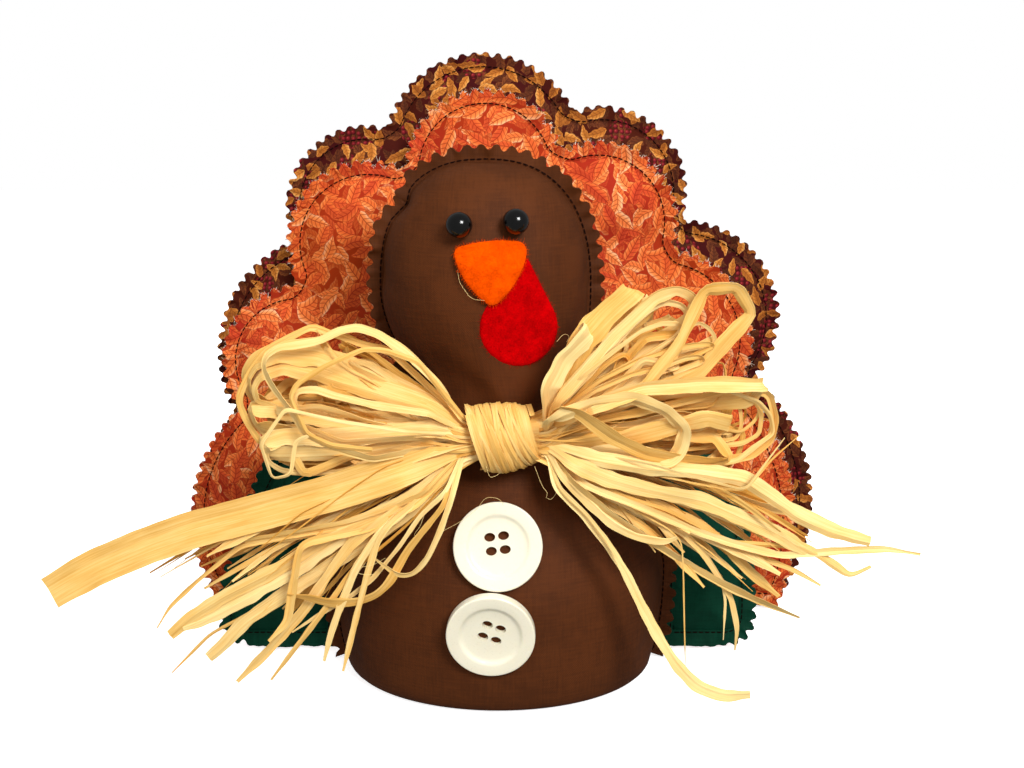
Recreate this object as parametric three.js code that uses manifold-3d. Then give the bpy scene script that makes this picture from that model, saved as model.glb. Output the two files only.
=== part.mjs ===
// Stuffed fabric turkey figure for a table top: a sewn gourd body on a weighted oval base, two scalloped
// tail pads, a pair of wings, a felt face, bead eyes, two sew-through buttons and a tied raffia bow.
// Millimetres, +Z up. The figure faces -Y, and the origin is the middle of the flat base panel.

import * as THREE from 'three';
import { mergeVertices } from 'three/addons/utils/BufferGeometryUtils.js';
import Module from 'manifold-3d';

const wasm = await Module();
wasm.setup();

// Cloth, seams and clearances
const CLOTH = 0.8; // one woven panel with its backing
const FELT = 1.2;
const SEAT_GAP = 0.3; // air between pieces that rest on each other
const PLY_GAP = 0.3; // air between the two plies of a seam allowance
const SEAM_ALLOWANCE = 6.5; // stitch line to the tips of the pinked edge
const PINK_PITCH = 5.2; // tooth to tooth along a pinked edge
const PINK_DEPTH = 2.2;
const FLOOR_GAP = 1.5; // hem of the tail pads and wings above the table

// Body: widest at the belly and again at the head, with a neck between them
const BASE_WIDTH = 116;
const BASE_FRONT = 49; // seam plane to the front edge
const BASE_BACK = 36; // seam plane to the back edge
const BELLY_Z = 38;
const BELLY_WIDTH = 129;
const BELLY_FRONT = 54;
const BELLY_BACK = 43;
const NECK_Z = 106;
const NECK_WIDTH = 62;
const NECK_FRONT = 34;
const NECK_BACK = 26;
const HEAD_Z = 150;
const HEAD_WIDTH = 78;
const HEAD_FRONT = 37;
const HEAD_BACK = 28;
const HEAD_LEAN = -5; // the head sits a little to its right hand
const CROWN_Z = 198;
const CROWN_POWER = 2.4; // 2 is an ellipse, more is squarer shoulders

// Weight in the base
const POUCH_RADIUS = 34;
const POUCH_HEIGHT = 22;
const POUCH_EDGE = 7; // height of its round edge above the base panel

// Tail pads: corners run from the lower right hem over the top to the lower left hem, each with the
// height of the scallop that starts there
const TAIL_CENTRE = { x: -5, z: 72 };
const TAIL_PUFF_FRONT = 8;
const TAIL_PUFF_BACK = 6;
const FRONT_TAIL = [
  { x: 123, z: FLOOR_GAP, bulge: 15 },
  { x: 103.5, z: 101.5, bulge: 17 },
  { x: 73, z: 160, bulge: 20.5 },
  { x: 26, z: 201.5, bulge: 28 },
  { x: -39.5, z: 193.5, bulge: 24 },
  { x: -85.5, z: 145, bulge: 18 },
  { x: -112.5, z: 92, bulge: 17 },
  { x: -124, z: FLOOR_GAP, bulge: 0 },
];
const BACK_TAIL = [
  { x: 128, z: FLOOR_GAP, bulge: 19 },
  { x: 113, z: 101, bulge: 24 },
  { x: 78.5, z: 171, bulge: 20 },
  { x: 31.5, z: 217, bulge: 27 },
  { x: -48.5, z: 210, bulge: 19 },
  { x: -89.5, z: 162, bulge: 18 },
  { x: -118, z: 86, bulge: 15 },
  { x: -122, z: FLOOR_GAP, bulge: 0 },
];

// Wings: a tall rounded pad on each side of the belly
const WINGS = [
  { name: 'left_wing', side: -1, width: 52 },
  { name: 'right_wing', side: 1, width: 41 },
];
const WING_HEIGHT = 104;
const WING_TOP_WIDTH = 22;
const WING_CORNER = 13; // how far the lower outer corner is rounded
const WING_SEAM_Y = 8; // its seam plane behind the body's seam plane
const WING_PUFF = 5;

// Face
const BEAK_TOP_Z = 171.5;
const EYE_DIAMETER = 9.4;
const EYE_Z = BEAK_TOP_Z + 4.9; // where the eyes are sewn on
const EYE_SPACING = 17.6; // between the two places where they are sewn on
const EYE_MIDDLE = -3.7; // the pair's middle, from the figure's centre line
const EYE_TILT = 1; // how much higher the right eye sits
const BEAK_TIP_Z = 150;
const BEAK_LEFT = -15.5;
const BEAK_RIGHT = 10.5;
const BEAK_TIP_X = -1.7;
const WATTLE_X = 7.5; // middle of the round end
const WATTLE_Z = 141;
const WATTLE_RADIUS = 14;
const WATTLE_FOLD_Z = 149.4; // the wattle is glued above this height and free below it
const WATTLE_TUCK = 8; // beak's top down to the end of the glued felt
const WATTLE_CURVE = 0.75; // share of the head's curve that the felt takes
const FOLD_GAP = 0.6; // between the glued and the free felt
const FOLD_SAMPLES = 40; // places along the fold where its bulge is measured

// Buttons
const BUTTON_DIAMETER = 32;
const BUTTON_THICKNESS = 4.2;
const BUTTON_WELL = 21; // diameter of the sunk middle
const BUTTON_WELL_DEPTH = 1.3;
const BUTTON_HOLE = 3.3;
const BUTTON_HOLE_SPACING = 5.6;
const BUTTON_SPOTS = [
  { name: 'button_upper', x: 0, z: 63.5, turn: -6 },
  { name: 'button_lower', x: -2.5, z: 33.5, turn: 18 },
];

// Raffia bow
const RAFFIA = 0.7; // thickness of a folded strip
const BOW_X = 2.6;
const KNOT_DROP = 3; // how far the knot sits below the narrowest part of the neck
const KNOT_GAP = 0.6; // knot to neck, whose facets stand a little proud of its hollow
const KNOT_LENGTH = 27;
const KNOT_HEIGHT = 24;
const KNOT_DEPTH = 19;
const WRAP_TURNS = 7;
const WRAP_STRIP = 2.9; // width of the strip that binds the knot
const WRAP_THICKNESS = 1.5;
const WRAP_STEPS = 16; // stations in a turn
const LEFT_LOOPS = { count: 6, low: 0, high: 30, reach: 80, spread: 9, strip: 6 };
const RIGHT_LOOPS = { count: 6, low: 5, high: 49, reach: 82, spread: 9, strip: 6 };
const LEFT_TAILS = [
  { fall: 22, length: 169, strip: 12, sag: 8 },
  { fall: 33, length: 138, strip: 6, sag: 3 },
  { fall: 40, length: 140, strip: 5, sag: 2 },
  { fall: 48, length: 126, strip: 5, sag: 1 },
  { fall: 56, length: 112, strip: 4, sag: 1 },
  { fall: 64, length: 98, strip: 4, sag: 0 },
];
const RIGHT_TAILS = [
  { fall: 18, length: 152, strip: 7, sag: 4 },
  { fall: 23, length: 143, strip: 6, sag: 3 },
  { fall: 28, length: 136, strip: 6, sag: 2 },
  { fall: 34, length: 124, strip: 5, sag: 2 },
  { fall: 41, length: 108, strip: 5, sag: 1 },
  { fall: 54, length: 117, strip: 5, sag: 0 },
];

// Colours of the finishes
const FINISH = {
  brown: { color: 0x4a2812, roughness: 0.85 },
  printed_rust: { color: 0xc4501e, roughness: 0.85 },
  printed_dark: { color: 0x4b2418, roughness: 0.85 },
  green: { color: 0x04402f, roughness: 0.85 },
  fill: { color: 0xf2efe8, roughness: 1 },
  pouch: { color: 0xcfc4ae, roughness: 0.9 },
  felt_orange: { color: 0xff6a0a, roughness: 1 },
  felt_red: { color: 0xc40808, roughness: 1 },
  bead: { color: 0x0b0b0c, roughness: 0.12 },
  button: { color: 0xf6efcf, roughness: 0.35 },
  raffia: { color: 0xe3bd74, roughness: 0.6 },
};

const figure = new THREE.Group();
figure.name = 'turkey_figure';

// Adds one named piece to the figure
function piece(name, finish, geometry) {
  const material = new THREE.MeshStandardMaterial({ ...FINISH[finish], metalness: 0 });
  const mesh = new THREE.Mesh(geometry, material);
  mesh.name = name;
  figure.add(mesh);
  return mesh;
}

// Solids and booleans

// A closed geometry as a solid with its faces pointing out
function solidOf(geometry) {
  const bare = geometry.clone();
  bare.deleteAttribute('normal');
  bare.deleteAttribute('uv');
  const merged = mergeVertices(bare, 1e-4);
  const vertProperties = new Float32Array(merged.attributes.position.array);
  const triVerts = new Uint32Array(merged.index.array);
  return new wasm.Manifold(new wasm.Mesh({ numProp: 3, vertProperties, triVerts }));
}

function geometryOf(solid) {
  const mesh = solid.getMesh();
  const geometry = new THREE.BufferGeometry();
  geometry.setAttribute('position', new THREE.BufferAttribute(mesh.vertProperties.slice(), 3));
  geometry.setIndex(new THREE.BufferAttribute(mesh.triVerts.slice(), 1));
  return geometry;
}

function unionOf(geometries) {
  return geometryOf(geometries.map(solidOf).reduce((a, b) => a.add(b)));
}

function indexed(points, faces) {
  const geometry = new THREE.BufferGeometry();
  geometry.setAttribute('position', new THREE.Float32BufferAttribute(points.flat(), 3));
  geometry.setIndex(faces.flat());
  return geometry;
}

// A closed slab from an outer and an inner copy of one open surface, joined round its rim
function slab(outer, inner, faces, rim) {
  const n = outer.length;
  const all = faces.map((f) => [...f]);
  for (const [a, b, c] of faces) all.push([a + n, c + n, b + n]);
  rim.forEach((a, i) => {
    const b = rim[(i + 1) % rim.length];
    all.push([b, a, a + n], [b, a + n, b + n]);
  });
  return indexed([...outer, ...inner], all);
}

// A tube with a four-sided section along stations of { at, side, face }, closed at both ends
function stripTube(stations) {
  const points = [];
  const faces = [];
  for (const { at, side, face } of stations) {
    for (const [a, b] of [[-1, -1], [1, -1], [1, 1], [-1, 1]]) {
      const corner = at.clone().addScaledVector(side, a).addScaledVector(face, b);
      points.push(corner.toArray());
    }
  }
  const last = 4 * (stations.length - 1);
  for (let i = 0; i < last; i += 4) {
    for (let k = 0; k < 4; k++) {
      const next = (k + 1) % 4;
      faces.push([i + k, i + next, i + 4 + next], [i + k, i + 4 + next, i + 4 + k]);
    }
  }
  faces.push([0, 2, 1], [0, 3, 2], [last, last + 1, last + 2], [last, last + 2, last + 3]);
  return indexed(points, faces);
}

const smooth = (t) => (1 - Math.cos(Math.PI * THREE.MathUtils.clamp(t, 0, 1))) / 2;
const radians = THREE.MathUtils.degToRad;

// Body shape

// One size of the body at a height, from its values at the base, belly, neck and head
function bodySize(z, [base, belly, neck, head], crown) {
  if (z <= BELLY_Z) {
    const below = (BELLY_Z - Math.max(z, 0)) / BELLY_Z;
    return base + (belly - base) * Math.sqrt(1 - below * below);
  }
  if (z <= NECK_Z) return belly + (neck - belly) * smooth((z - BELLY_Z) / (NECK_Z - BELLY_Z));
  if (z <= HEAD_Z) return neck + (head - neck) * smooth((z - NECK_Z) / (HEAD_Z - NECK_Z));
  const above = Math.min(1, (z - HEAD_Z) / (crown - HEAD_Z));
  return head * (1 - above ** CROWN_POWER) ** (1 / CROWN_POWER);
}

const BODY_HALF = [BASE_WIDTH / 2, BELLY_WIDTH / 2, NECK_WIDTH / 2, HEAD_WIDTH / 2];
const BODY_FRONT = [BASE_FRONT, BELLY_FRONT, NECK_FRONT, HEAD_FRONT];
const BODY_BACK = [BASE_BACK, BELLY_BACK, NECK_BACK, HEAD_BACK];

const bodyMiddle = (z) => HEAD_LEAN * smooth((z - NECK_Z) / (HEAD_Z - NECK_Z));

// A point of the body's skin, drawn in by inset, at a height and an angle round from the right hand seam
function bodyPoint(z, angle, inset) {
  const shrink = (sizes) => bodySize(z, sizes.map((s) => s - inset), CROWN_Z - inset);
  const across = Math.cos(angle);
  const deep = Math.sin(angle);
  const depth = deep > 0 ? shrink(BODY_FRONT) : shrink(BODY_BACK);
  return [bodyMiddle(z) + shrink(BODY_HALF) * across, -depth * deep, z];
}

// Where the front of the body is at a place across and up
function bodyFrontY(x, z) {
  const across = (x - bodyMiddle(z)) / bodySize(z, BODY_HALF, CROWN_Z);
  return -bodySize(z, BODY_FRONT, CROWN_Z) * Math.sqrt(Math.max(0, 1 - across * across));
}

// The outward direction of the front of the body
function bodyFrontNormal(x, z) {
  const step = 0.5;
  const slopeX = (bodyFrontY(x + step, z) - bodyFrontY(x - step, z)) / (2 * step);
  const slopeZ = (bodyFrontY(x, z + step) - bodyFrontY(x, z - step)) / (2 * step);
  return new THREE.Vector3(slopeX, -1, slopeZ).normalize();
}

// How far to the side the back of the body reaches at a height and a depth
function bodySideX(z, y) {
  const deep = y / bodySize(z, BODY_BACK, CROWN_Z);
  return bodySize(z, BODY_HALF, CROWN_Z) * Math.sqrt(1 - deep * deep);
}

const HALF_COLUMNS = 12;
const CROWN_CAP = 0.3; // the last row lies this far below the crown

// Heights of the rows between two levels, closer together where the shape turns
function bodyRows(from, to, crown) {
  const rows = [0.06, 0.2, 0.5].map((share) => BELLY_Z * share);
  for (let i = 0; i < 5; i++) rows.push(THREE.MathUtils.lerp(BELLY_Z, NECK_Z, i / 5));
  for (let i = 0; i < 4; i++) rows.push(THREE.MathUtils.lerp(NECK_Z, HEAD_Z, i / 4));
  for (let i = 0; i < 6; i++) rows.push(THREE.MathUtils.lerp(HEAD_Z, crown, Math.sin(radians(15 * i))));
  return [from, ...rows.filter((z) => z > from && z < to), to];
}

// Body panels: half a gourd of cloth, front or back, with its seam allowance

const PANEL_FOOT = CLOTH + SEAT_GAP; // the panels stand on the base panel

function halfGourd(front) {
  const facing = front ? 1 : -1;
  const skin = (inset) => {
    const crown = CROWN_Z - inset;
    const points = bodyRows(PANEL_FOOT, crown - CROWN_CAP, crown).flatMap((z) => {
      const row = [];
      for (let k = 0; k <= HALF_COLUMNS; k++) {
        const [x, y] = bodyPoint(z, (facing * Math.PI * k) / HALF_COLUMNS, inset);
        row.push([x, y - (facing * PLY_GAP) / 2, z]);
      }
      return row;
    });
    return [...points, [bodyMiddle(crown), (-facing * PLY_GAP) / 2, crown]];
  };
  const outer = skin(0);
  const width = HALF_COLUMNS + 1;
  const pole = outer.length - 1;
  const top = pole - width;
  const faces = [];
  for (let row = 0; row < top; row += width) {
    for (let k = row; k < row + HALF_COLUMNS; k++) {
      faces.push([k + 1, k, k + width], [k + 1, k + width, k + width + 1]);
    }
  }
  for (let k = top; k < top + HALF_COLUMNS; k++) faces.push([k + 1, k, pole]);
  const rim = [];
  for (let k = HALF_COLUMNS; k > 0; k--) rim.push(k);
  for (let row = 0; row <= top; row += width) rim.push(row);
  rim.push(pole);
  for (let row = top; row > 0; row -= width) rim.push(row + HALF_COLUMNS);
  if (front) return slab(outer, skin(CLOTH), faces, rim);
  return slab(outer, skin(CLOTH), faces.map(([a, b, c]) => [a, c, b]), rim.reverse());
}

// The body's seam line from the right foot over the crown to the left foot
function seamLine() {
  const rows = bodyRows(PANEL_FOOT, CROWN_Z - CROWN_CAP, CROWN_Z);
  const right = rows.map((z) => bodyPoint(z, 0, CLOTH / 2));
  const left = rows.map((z) => bodyPoint(z, Math.PI, CLOTH / 2)).reverse();
  const crown = [bodyMiddle(CROWN_Z), 0, CROWN_Z - CLOTH / 2];
  return [...right, crown, ...left].map(([x, , z]) => new THREE.Vector2(x, z));
}

// Points at even steps along a line of points, with the outward side of a counter-clockwise run
function evenSteps(line, step) {
  const lengths = [0];
  for (let i = 1; i < line.length; i++) lengths.push(lengths[i - 1] + line[i].distanceTo(line[i - 1]));
  const total = lengths[lengths.length - 1];
  const count = Math.max(2, 2 * Math.round(total / step / 2));
  const made = [];
  let k = 1;
  for (let i = 0; i <= count; i++) {
    const along = (total * i) / count;
    while (k < line.length - 1 && lengths[k] < along) k++;
    const share = (along - lengths[k - 1]) / (lengths[k] - lengths[k - 1]);
    const at = line[k - 1].clone().lerp(line[k], share);
    made.push({ at });
  }
  made.forEach((p, i) => {
    const ahead = made[Math.min(i + 1, count)].at;
    const behind = made[Math.max(i - 1, 0)].at;
    const along = ahead.clone().sub(behind).normalize();
    p.out = new THREE.Vector2(along.y, -along.x);
  });
  return made;
}

// A flat band of cloth outside the seam line, pinked on the front ply and trimmed to the roots on the back
function bodyAllowance(front) {
  const seam = seamLine();
  const steps = evenSteps(seam, front ? PINK_PITCH / 2 : 2 * PINK_PITCH);
  const outer = steps.map(({ at, out }, i) => {
    const root = front ? i % 2 === 0 : true;
    return at.clone().addScaledVector(out, SEAM_ALLOWANCE - (root ? PINK_DEPTH : 0));
  });
  const band = new THREE.Shape([...outer, ...seam.slice().reverse()]);
  const geometry = new THREE.ExtrudeGeometry(band, { depth: CLOTH, bevelEnabled: false });
  geometry.rotateX(Math.PI / 2);
  geometry.translate(0, front ? -PLY_GAP / 2 : PLY_GAP / 2 + CLOTH, 0);
  return geometry;
}

piece('body_front_panel', 'brown', unionOf([halfGourd(true), bodyAllowance(true)]));
piece('body_back_panel', 'brown', unionOf([halfGourd(false), bodyAllowance(false)]));

// Base panel and what fills the body

function ovalLine(inset, count) {
  const line = [];
  for (let i = 0; i < count; i++) {
    const [x, y] = bodyPoint(0, (2 * Math.PI * i) / count, inset);
    line.push(new THREE.Vector2(x, y));
  }
  return line;
}

const baseOval = new THREE.Shape(ovalLine(0, 4 * HALF_COLUMNS));
piece('base_panel', 'brown', new THREE.ExtrudeGeometry(baseOval, { depth: CLOTH, bevelEnabled: false }));

// A solid slice of the body between two heights, drawn in by inset
function bodySlice(from, to, inset) {
  const columns = HALF_COLUMNS;
  const rows = bodyRows(from, to, CROWN_Z - inset);
  const points = [];
  const faces = [];
  for (const z of rows) {
    for (let k = 0; k < columns; k++) points.push(bodyPoint(z, (-2 * Math.PI * k) / columns, inset));
  }
  for (let j = 0; j < rows.length - 1; j++) {
    for (let k = 0; k < columns; k++) {
      const a = j * columns + k;
      const b = j * columns + ((k + 1) % columns);
      faces.push([a, b, b + columns], [a, b + columns, a + columns]);
    }
  }
  const foot = points.push([bodyMiddle(from), 0, from]) - 1;
  const top = points.push([bodyMiddle(to), 0, to]) - 1;
  const ring = (rows.length - 1) * columns;
  for (let k = 0; k < columns; k++) {
    const next = (k + 1) % columns;
    faces.push([foot, next, k], [top, ring + k, ring + next]);
  }
  return indexed(points, faces);
}

// A round bag with a soft edge, grown by a clearance
function pouch(clearance) {
  const profile = [new THREE.Vector2(0, -clearance)];
  const flat = POUCH_RADIUS - POUCH_EDGE;
  for (let i = 0; i <= 4; i++) {
    const angle = -Math.PI / 2 + (Math.PI / 2) * (i / 4);
    const reach = POUCH_EDGE + clearance;
    profile.push(new THREE.Vector2(flat + reach * Math.cos(angle), POUCH_EDGE + reach * Math.sin(angle)));
  }
  const rise = POUCH_HEIGHT - POUCH_EDGE + clearance;
  for (let i = 1; i <= 4; i++) {
    const angle = (Math.PI / 2) * (i / 4);
    const reach = (POUCH_RADIUS + clearance) * Math.cos(angle);
    profile.push(new THREE.Vector2(i < 4 ? reach : 0, POUCH_EDGE + rise * Math.sin(angle)));
  }
  const geometry = new THREE.LatheGeometry(profile, 16);
  geometry.rotateX(Math.PI / 2);
  geometry.translate(0, (BASE_BACK - BASE_FRONT) / 2, CLOTH + SEAT_GAP);
  return geometry;
}

const FILL_INSET = CLOTH + SEAT_GAP;
const bellyFill = solidOf(bodySlice(PANEL_FOOT, NECK_Z - SEAT_GAP / 2, FILL_INSET));
piece('belly_fill', 'fill', geometryOf(bellyFill.subtract(solidOf(pouch(SEAT_GAP)))));
piece('head_fill', 'fill', bodySlice(NECK_Z + SEAT_GAP / 2, CROWN_Z - FILL_INSET - CROWN_CAP, FILL_INSET));
piece('weight_pouch', 'pouch', pouch(0));

// Sewn pads: a front panel, a back panel and a filling inside one outline

// Points of an arc between two corners, bulging to the right of the way it runs, without its end
function arcPoints(from, to, bulge, steps) {
  const a = new THREE.Vector2(from.x, from.z);
  const b = new THREE.Vector2(to.x, to.z);
  const chord = b.clone().sub(a);
  const length = chord.length();
  const out = new THREE.Vector2(chord.y, -chord.x).divideScalar(length);
  const half = 2 * Math.atan((2 * bulge) / length);
  const radius = bulge ? length / 2 / Math.sin(half) : 0;
  const centre = a.clone().lerp(b, 0.5).addScaledVector(out, bulge - radius);
  const along = chord.clone().divideScalar(length);
  const made = [];
  for (let i = 0; i < steps; i++) {
    if (!bulge) {
      made.push(a.clone().lerp(b, i / steps));
      continue;
    }
    const angle = THREE.MathUtils.lerp(-half, half, i / steps);
    const reach = centre.clone().addScaledVector(along, radius * Math.sin(angle));
    made.push(reach.addScaledVector(out, radius * Math.cos(angle)));
  }
  return made;
}

// A closed outline through corners with bulges: points with their outward side and share of the way round
function outlineOf(corners, steps) {
  const line = corners.flatMap((corner, i) => {
    const next = corners[(i + 1) % corners.length];
    return arcPoints(corner, next, corner.bulge, corner.steps ?? steps);
  });
  return withShares(line.map((at, i) => {
    const along = line[(i + 1) % line.length].clone().sub(line[(i + line.length - 1) % line.length]).normalize();
    return { at, out: new THREE.Vector2(along.y, -along.x) };
  }));
}

// The same outline with its round stretches cut by pinking shears: a tooth tip, then a root, at every pitch
function pinkedOutline(corners) {
  const points = corners.flatMap((corner, i) => {
    const next = corners[(i + 1) % corners.length];
    if (!corner.bulge) return arcPoints(corner, next, 0, corner.steps ?? 1).map((at) => ({ at }));
    const arc = [...arcPoints(corner, next, corner.bulge, 24), new THREE.Vector2(next.x, next.z)];
    return evenSteps(arc, PINK_PITCH / 2).slice(0, -1).map(({ at, out }, k) => ({
      at: k % 2 ? at.clone().addScaledVector(out, -PINK_DEPTH) : at,
    }));
  });
  return withShares(points);
}

// Gives each point of a closed run its share of the way round
function withShares(points) {
  const ways = [0];
  points.forEach((p, i) => ways.push(ways[i] + p.at.distanceTo(points[(i + 1) % points.length].at)));
  return points.map((p, i) => ({ ...p, share: ways[i] / ways[points.length] }));
}

const insetOutline = (outline, inset) => outline.map(({ at, out, share }) => ({
  at: at.clone().addScaledVector(out, -inset),
  share,
}));

const towards = (outline, centre, scale) => outline.map(({ at, share }) => ({
  at: new THREE.Vector2(centre.x + (at.x - centre.x) * scale, centre.z + (at.y - centre.z) * scale),
  share,
}));

// Triangles between an outer and an inner ring, each a run of points with shares of the way round
function bridge(outer, inner, outerStart, innerStart) {
  const faces = [];
  const at = (ring, i) => (i < ring.length ? ring[i].share : 1 + ring[i - ring.length].share);
  let i = 0;
  let j = 0;
  while (i < outer.length || j < inner.length) {
    const a = outerStart + (i % outer.length);
    const b = innerStart + (j % inner.length);
    const outerFirst = j >= inner.length || (i < outer.length && at(outer, i + 1) <= at(inner, j + 1));
    if (outerFirst) {
      i++;
      faces.push([a, outerStart + (i % outer.length), b]);
    } else {
      j++;
      faces.push([a, innerStart + (j % inner.length), b]);
    }
  }
  return faces;
}

// A closed sheet or pad over rings, from the edge to the middle, with a front and a back depth at each
function ringPad(rings, frontY, backY) {
  const front = [];
  const back = [];
  const faces = [];
  let start = 0;
  rings.forEach((ring, r) => {
    for (const { at } of ring.points) {
      front.push([at.x, frontY(at.x, at.y, ring.rise), at.y]);
      back.push([at.x, backY(at.x, at.y, ring.rise), at.y]);
    }
    const next = rings[r + 1];
    if (next) faces.push(...bridge(ring.points, next.points, start, start + ring.points.length));
    start += ring.points.length;
  });
  const rim = rings[0].points.map((_, i) => i);
  return slab(front, back, faces, rim);
}

// Shares of the full puff on rings at shares of the way out to the seam, flat between rings
const SHOULDER = { out: 0.86, rise: 0.62 };
const CROWN = { out: 0.55, rise: 0.93 };

// Rings of a puffed pad inside its seam: rise is the share of the full puff
function puffRings(seam, centre) {
  const middle = { at: new THREE.Vector2(centre.x, centre.z), share: 0 };
  return [
    { points: seam, rise: 0 },
    { points: towards(seam, centre, SHOULDER.out), rise: SHOULDER.rise },
    { points: towards(seam.filter((_, i) => i % 2 === 0), centre, CROWN.out), rise: CROWN.rise },
    { points: [middle], rise: 1 },
  ];
}

// Adds the three pieces of a pad whose seam lies in the plane at seamY
function sewnPad(name, finish, corners, centre, seamY, puffFront, puffBack, steps) {
  const outline = outlineOf(corners, steps);
  const seam = insetOutline(outline, SEAM_ALLOWANCE);
  const rings = puffRings(seam, centre);
  const pinked = { points: pinkedOutline(corners), rise: 0 };
  const trimmed = { points: insetOutline(outline, PINK_DEPTH), rise: 0 };
  const frontInner = (x, z, rise) => seamY - PLY_GAP / 2 - puffFront * rise;
  const backInner = (x, z, rise) => seamY + PLY_GAP / 2 + puffBack * rise;
  const frontOuter = (x, z, rise) => frontInner(x, z, rise) - CLOTH;
  const backOuter = (x, z, rise) => backInner(x, z, rise) + CLOTH;
  piece(`${name}_front_panel`, finish, ringPad([pinked, ...rings], frontOuter, frontInner));
  piece(`${name}_back_panel`, finish, ringPad([trimmed, ...rings], backInner, backOuter));
  const fillEdge = { points: towards(seam, centre, (1 + SHOULDER.out) / 2), rise: SHOULDER.rise / 2 };
  const fillFront = (x, z, rise) => frontInner(x, z, rise) + SEAT_GAP;
  const fillBack = (x, z, rise) => backInner(x, z, rise) - SEAT_GAP;
  piece(`${name}_fill`, 'fill', ringPad([fillEdge, ...rings.slice(1)], fillFront, fillBack));
}

// The front tail leans on the back of the belly, which is lower than the fullest part of the tail
const BELLY_OUT = (TAIL_CENTRE.z - BELLY_Z) / (TAIL_CENTRE.z - FLOOR_GAP - SEAM_ALLOWANCE);
const BELLY_RISE = 1 - (1 - CROWN.rise) * (BELLY_OUT / CROWN.out);
const FRONT_TAIL_Y = BELLY_BACK + SEAT_GAP + TAIL_PUFF_FRONT * BELLY_RISE + CLOTH + PLY_GAP / 2;
const TAIL_STEP = TAIL_PUFF_BACK + TAIL_PUFF_FRONT + 2 * CLOTH + PLY_GAP + SEAT_GAP;
const SCALLOP_STEPS = 6;
sewnPad('front_tail', 'printed_rust', FRONT_TAIL, TAIL_CENTRE, FRONT_TAIL_Y,
  TAIL_PUFF_FRONT, TAIL_PUFF_BACK, SCALLOP_STEPS);
sewnPad('back_tail', 'printed_dark', BACK_TAIL, TAIL_CENTRE, FRONT_TAIL_Y + TAIL_STEP,
  TAIL_PUFF_FRONT, TAIL_PUFF_BACK, SCALLOP_STEPS);

// Wings stand beside the belly with their inner edges against it
const WING_INNER = bodySideX(BELLY_Z, WING_SEAM_Y - PLY_GAP / 2 - CLOTH) + SEAT_GAP;
const WING_SHOULDER = WING_HEIGHT - WING_TOP_WIDTH / 2;

function wingCorners(side, width) {
  const outer = WING_INNER + width;
  const right = [
    { x: WING_INNER, z: FLOOR_GAP, bulge: 0, steps: 3 },
    { x: outer - WING_CORNER, z: FLOOR_GAP, bulge: 0.3 * WING_CORNER, steps: 4 },
    { x: outer, z: FLOOR_GAP + WING_CORNER, bulge: 5 },
    { x: WING_INNER + WING_TOP_WIDTH, z: WING_SHOULDER, bulge: WING_TOP_WIDTH / 2 },
    { x: WING_INNER, z: WING_SHOULDER, bulge: 0 },
  ];
  if (side > 0) return right;
  return right.map((corner, i) => {
    const { bulge, steps } = right[(i + right.length - 1) % right.length];
    return { x: -corner.x, z: corner.z, bulge, steps };
  }).reverse();
}

for (const { name, side, width } of WINGS) {
  const centre = { x: side * (WING_INNER + width * 0.42), z: WING_HEIGHT * 0.42 };
  sewnPad(name, 'green', wingCorners(side, width), centre, WING_SEAM_Y, WING_PUFF, WING_PUFF, 5);
}

// Felt face: the wattle's glued tab lies on the head, the beak covers it, and the wattle folds below it

const beakCorners = [
  { x: BEAK_LEFT, z: BEAK_TOP_Z - 4, bulge: 1.5 },
  { x: BEAK_TIP_X - 2, z: BEAK_TIP_Z + 1, bulge: 1, steps: 2 },
  { x: BEAK_TIP_X + 2, z: BEAK_TIP_Z + 1, bulge: 1.5 },
  { x: BEAK_RIGHT, z: BEAK_TOP_Z - 3, bulge: 1.2, steps: 2 },
  { x: BEAK_RIGHT - 4, z: BEAK_TOP_Z, bulge: 1 },
  { x: BEAK_LEFT + 3, z: BEAK_TOP_Z - 1.5, bulge: 1, steps: 2 },
];

// Rings of a thin felt piece, close enough to follow a round head
function feltRings(outline, centre) {
  const middle = { at: new THREE.Vector2(centre.x, centre.z), share: 0 };
  return [
    { points: outline, rise: 0 },
    { points: towards(outline, centre, 0.66), rise: 0 },
    { points: towards(outline, centre, 0.33), rise: 0 },
    { points: [middle], rise: 0 },
  ];
}

// Stiff felt keeps only a part of the head's curve
function wattleY(x, z) {
  const across = (WATTLE_CURVE * (x - bodyMiddle(z))) / bodySize(z, BODY_HALF, CROWN_Z);
  return -bodySize(z, BODY_FRONT, CROWN_Z) * Math.sqrt(1 - across * across) - SEAT_GAP;
}

// The beak is glued to the head along its top and rides over the wattle lower down
function beakY(x, z) {
  const over = smooth((BEAK_TOP_Z - z) / WATTLE_TUCK);
  const onHead = bodyFrontY(x, z) - SEAT_GAP;
  const onWattle = wattleY(x, z) - FELT - 2 * SEAT_GAP;
  return THREE.MathUtils.lerp(onHead, onWattle, over);
}

function felt(corners, centre, steps, under) {
  return ringPad(feltRings(outlineOf(corners, steps), centre), (x, z) => under(x, z) - FELT, under);
}

const beakCentre = { x: (BEAK_LEFT + BEAK_RIGHT + BEAK_TIP_X) / 3, z: (2 * BEAK_TOP_Z + BEAK_TIP_Z) / 3 };
piece('beak', 'felt_orange', felt(beakCorners, beakCentre, 5, beakY));

// The wattle folds on a level line just below the beak's tip; above it the felt is glued under the beak
const foldHalf = Math.sqrt(WATTLE_RADIUS ** 2 - (WATTLE_FOLD_Z - WATTLE_Z) ** 2);
const foldLeft = WATTLE_X - foldHalf;
const foldRight = WATTLE_X + foldHalf;

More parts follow.
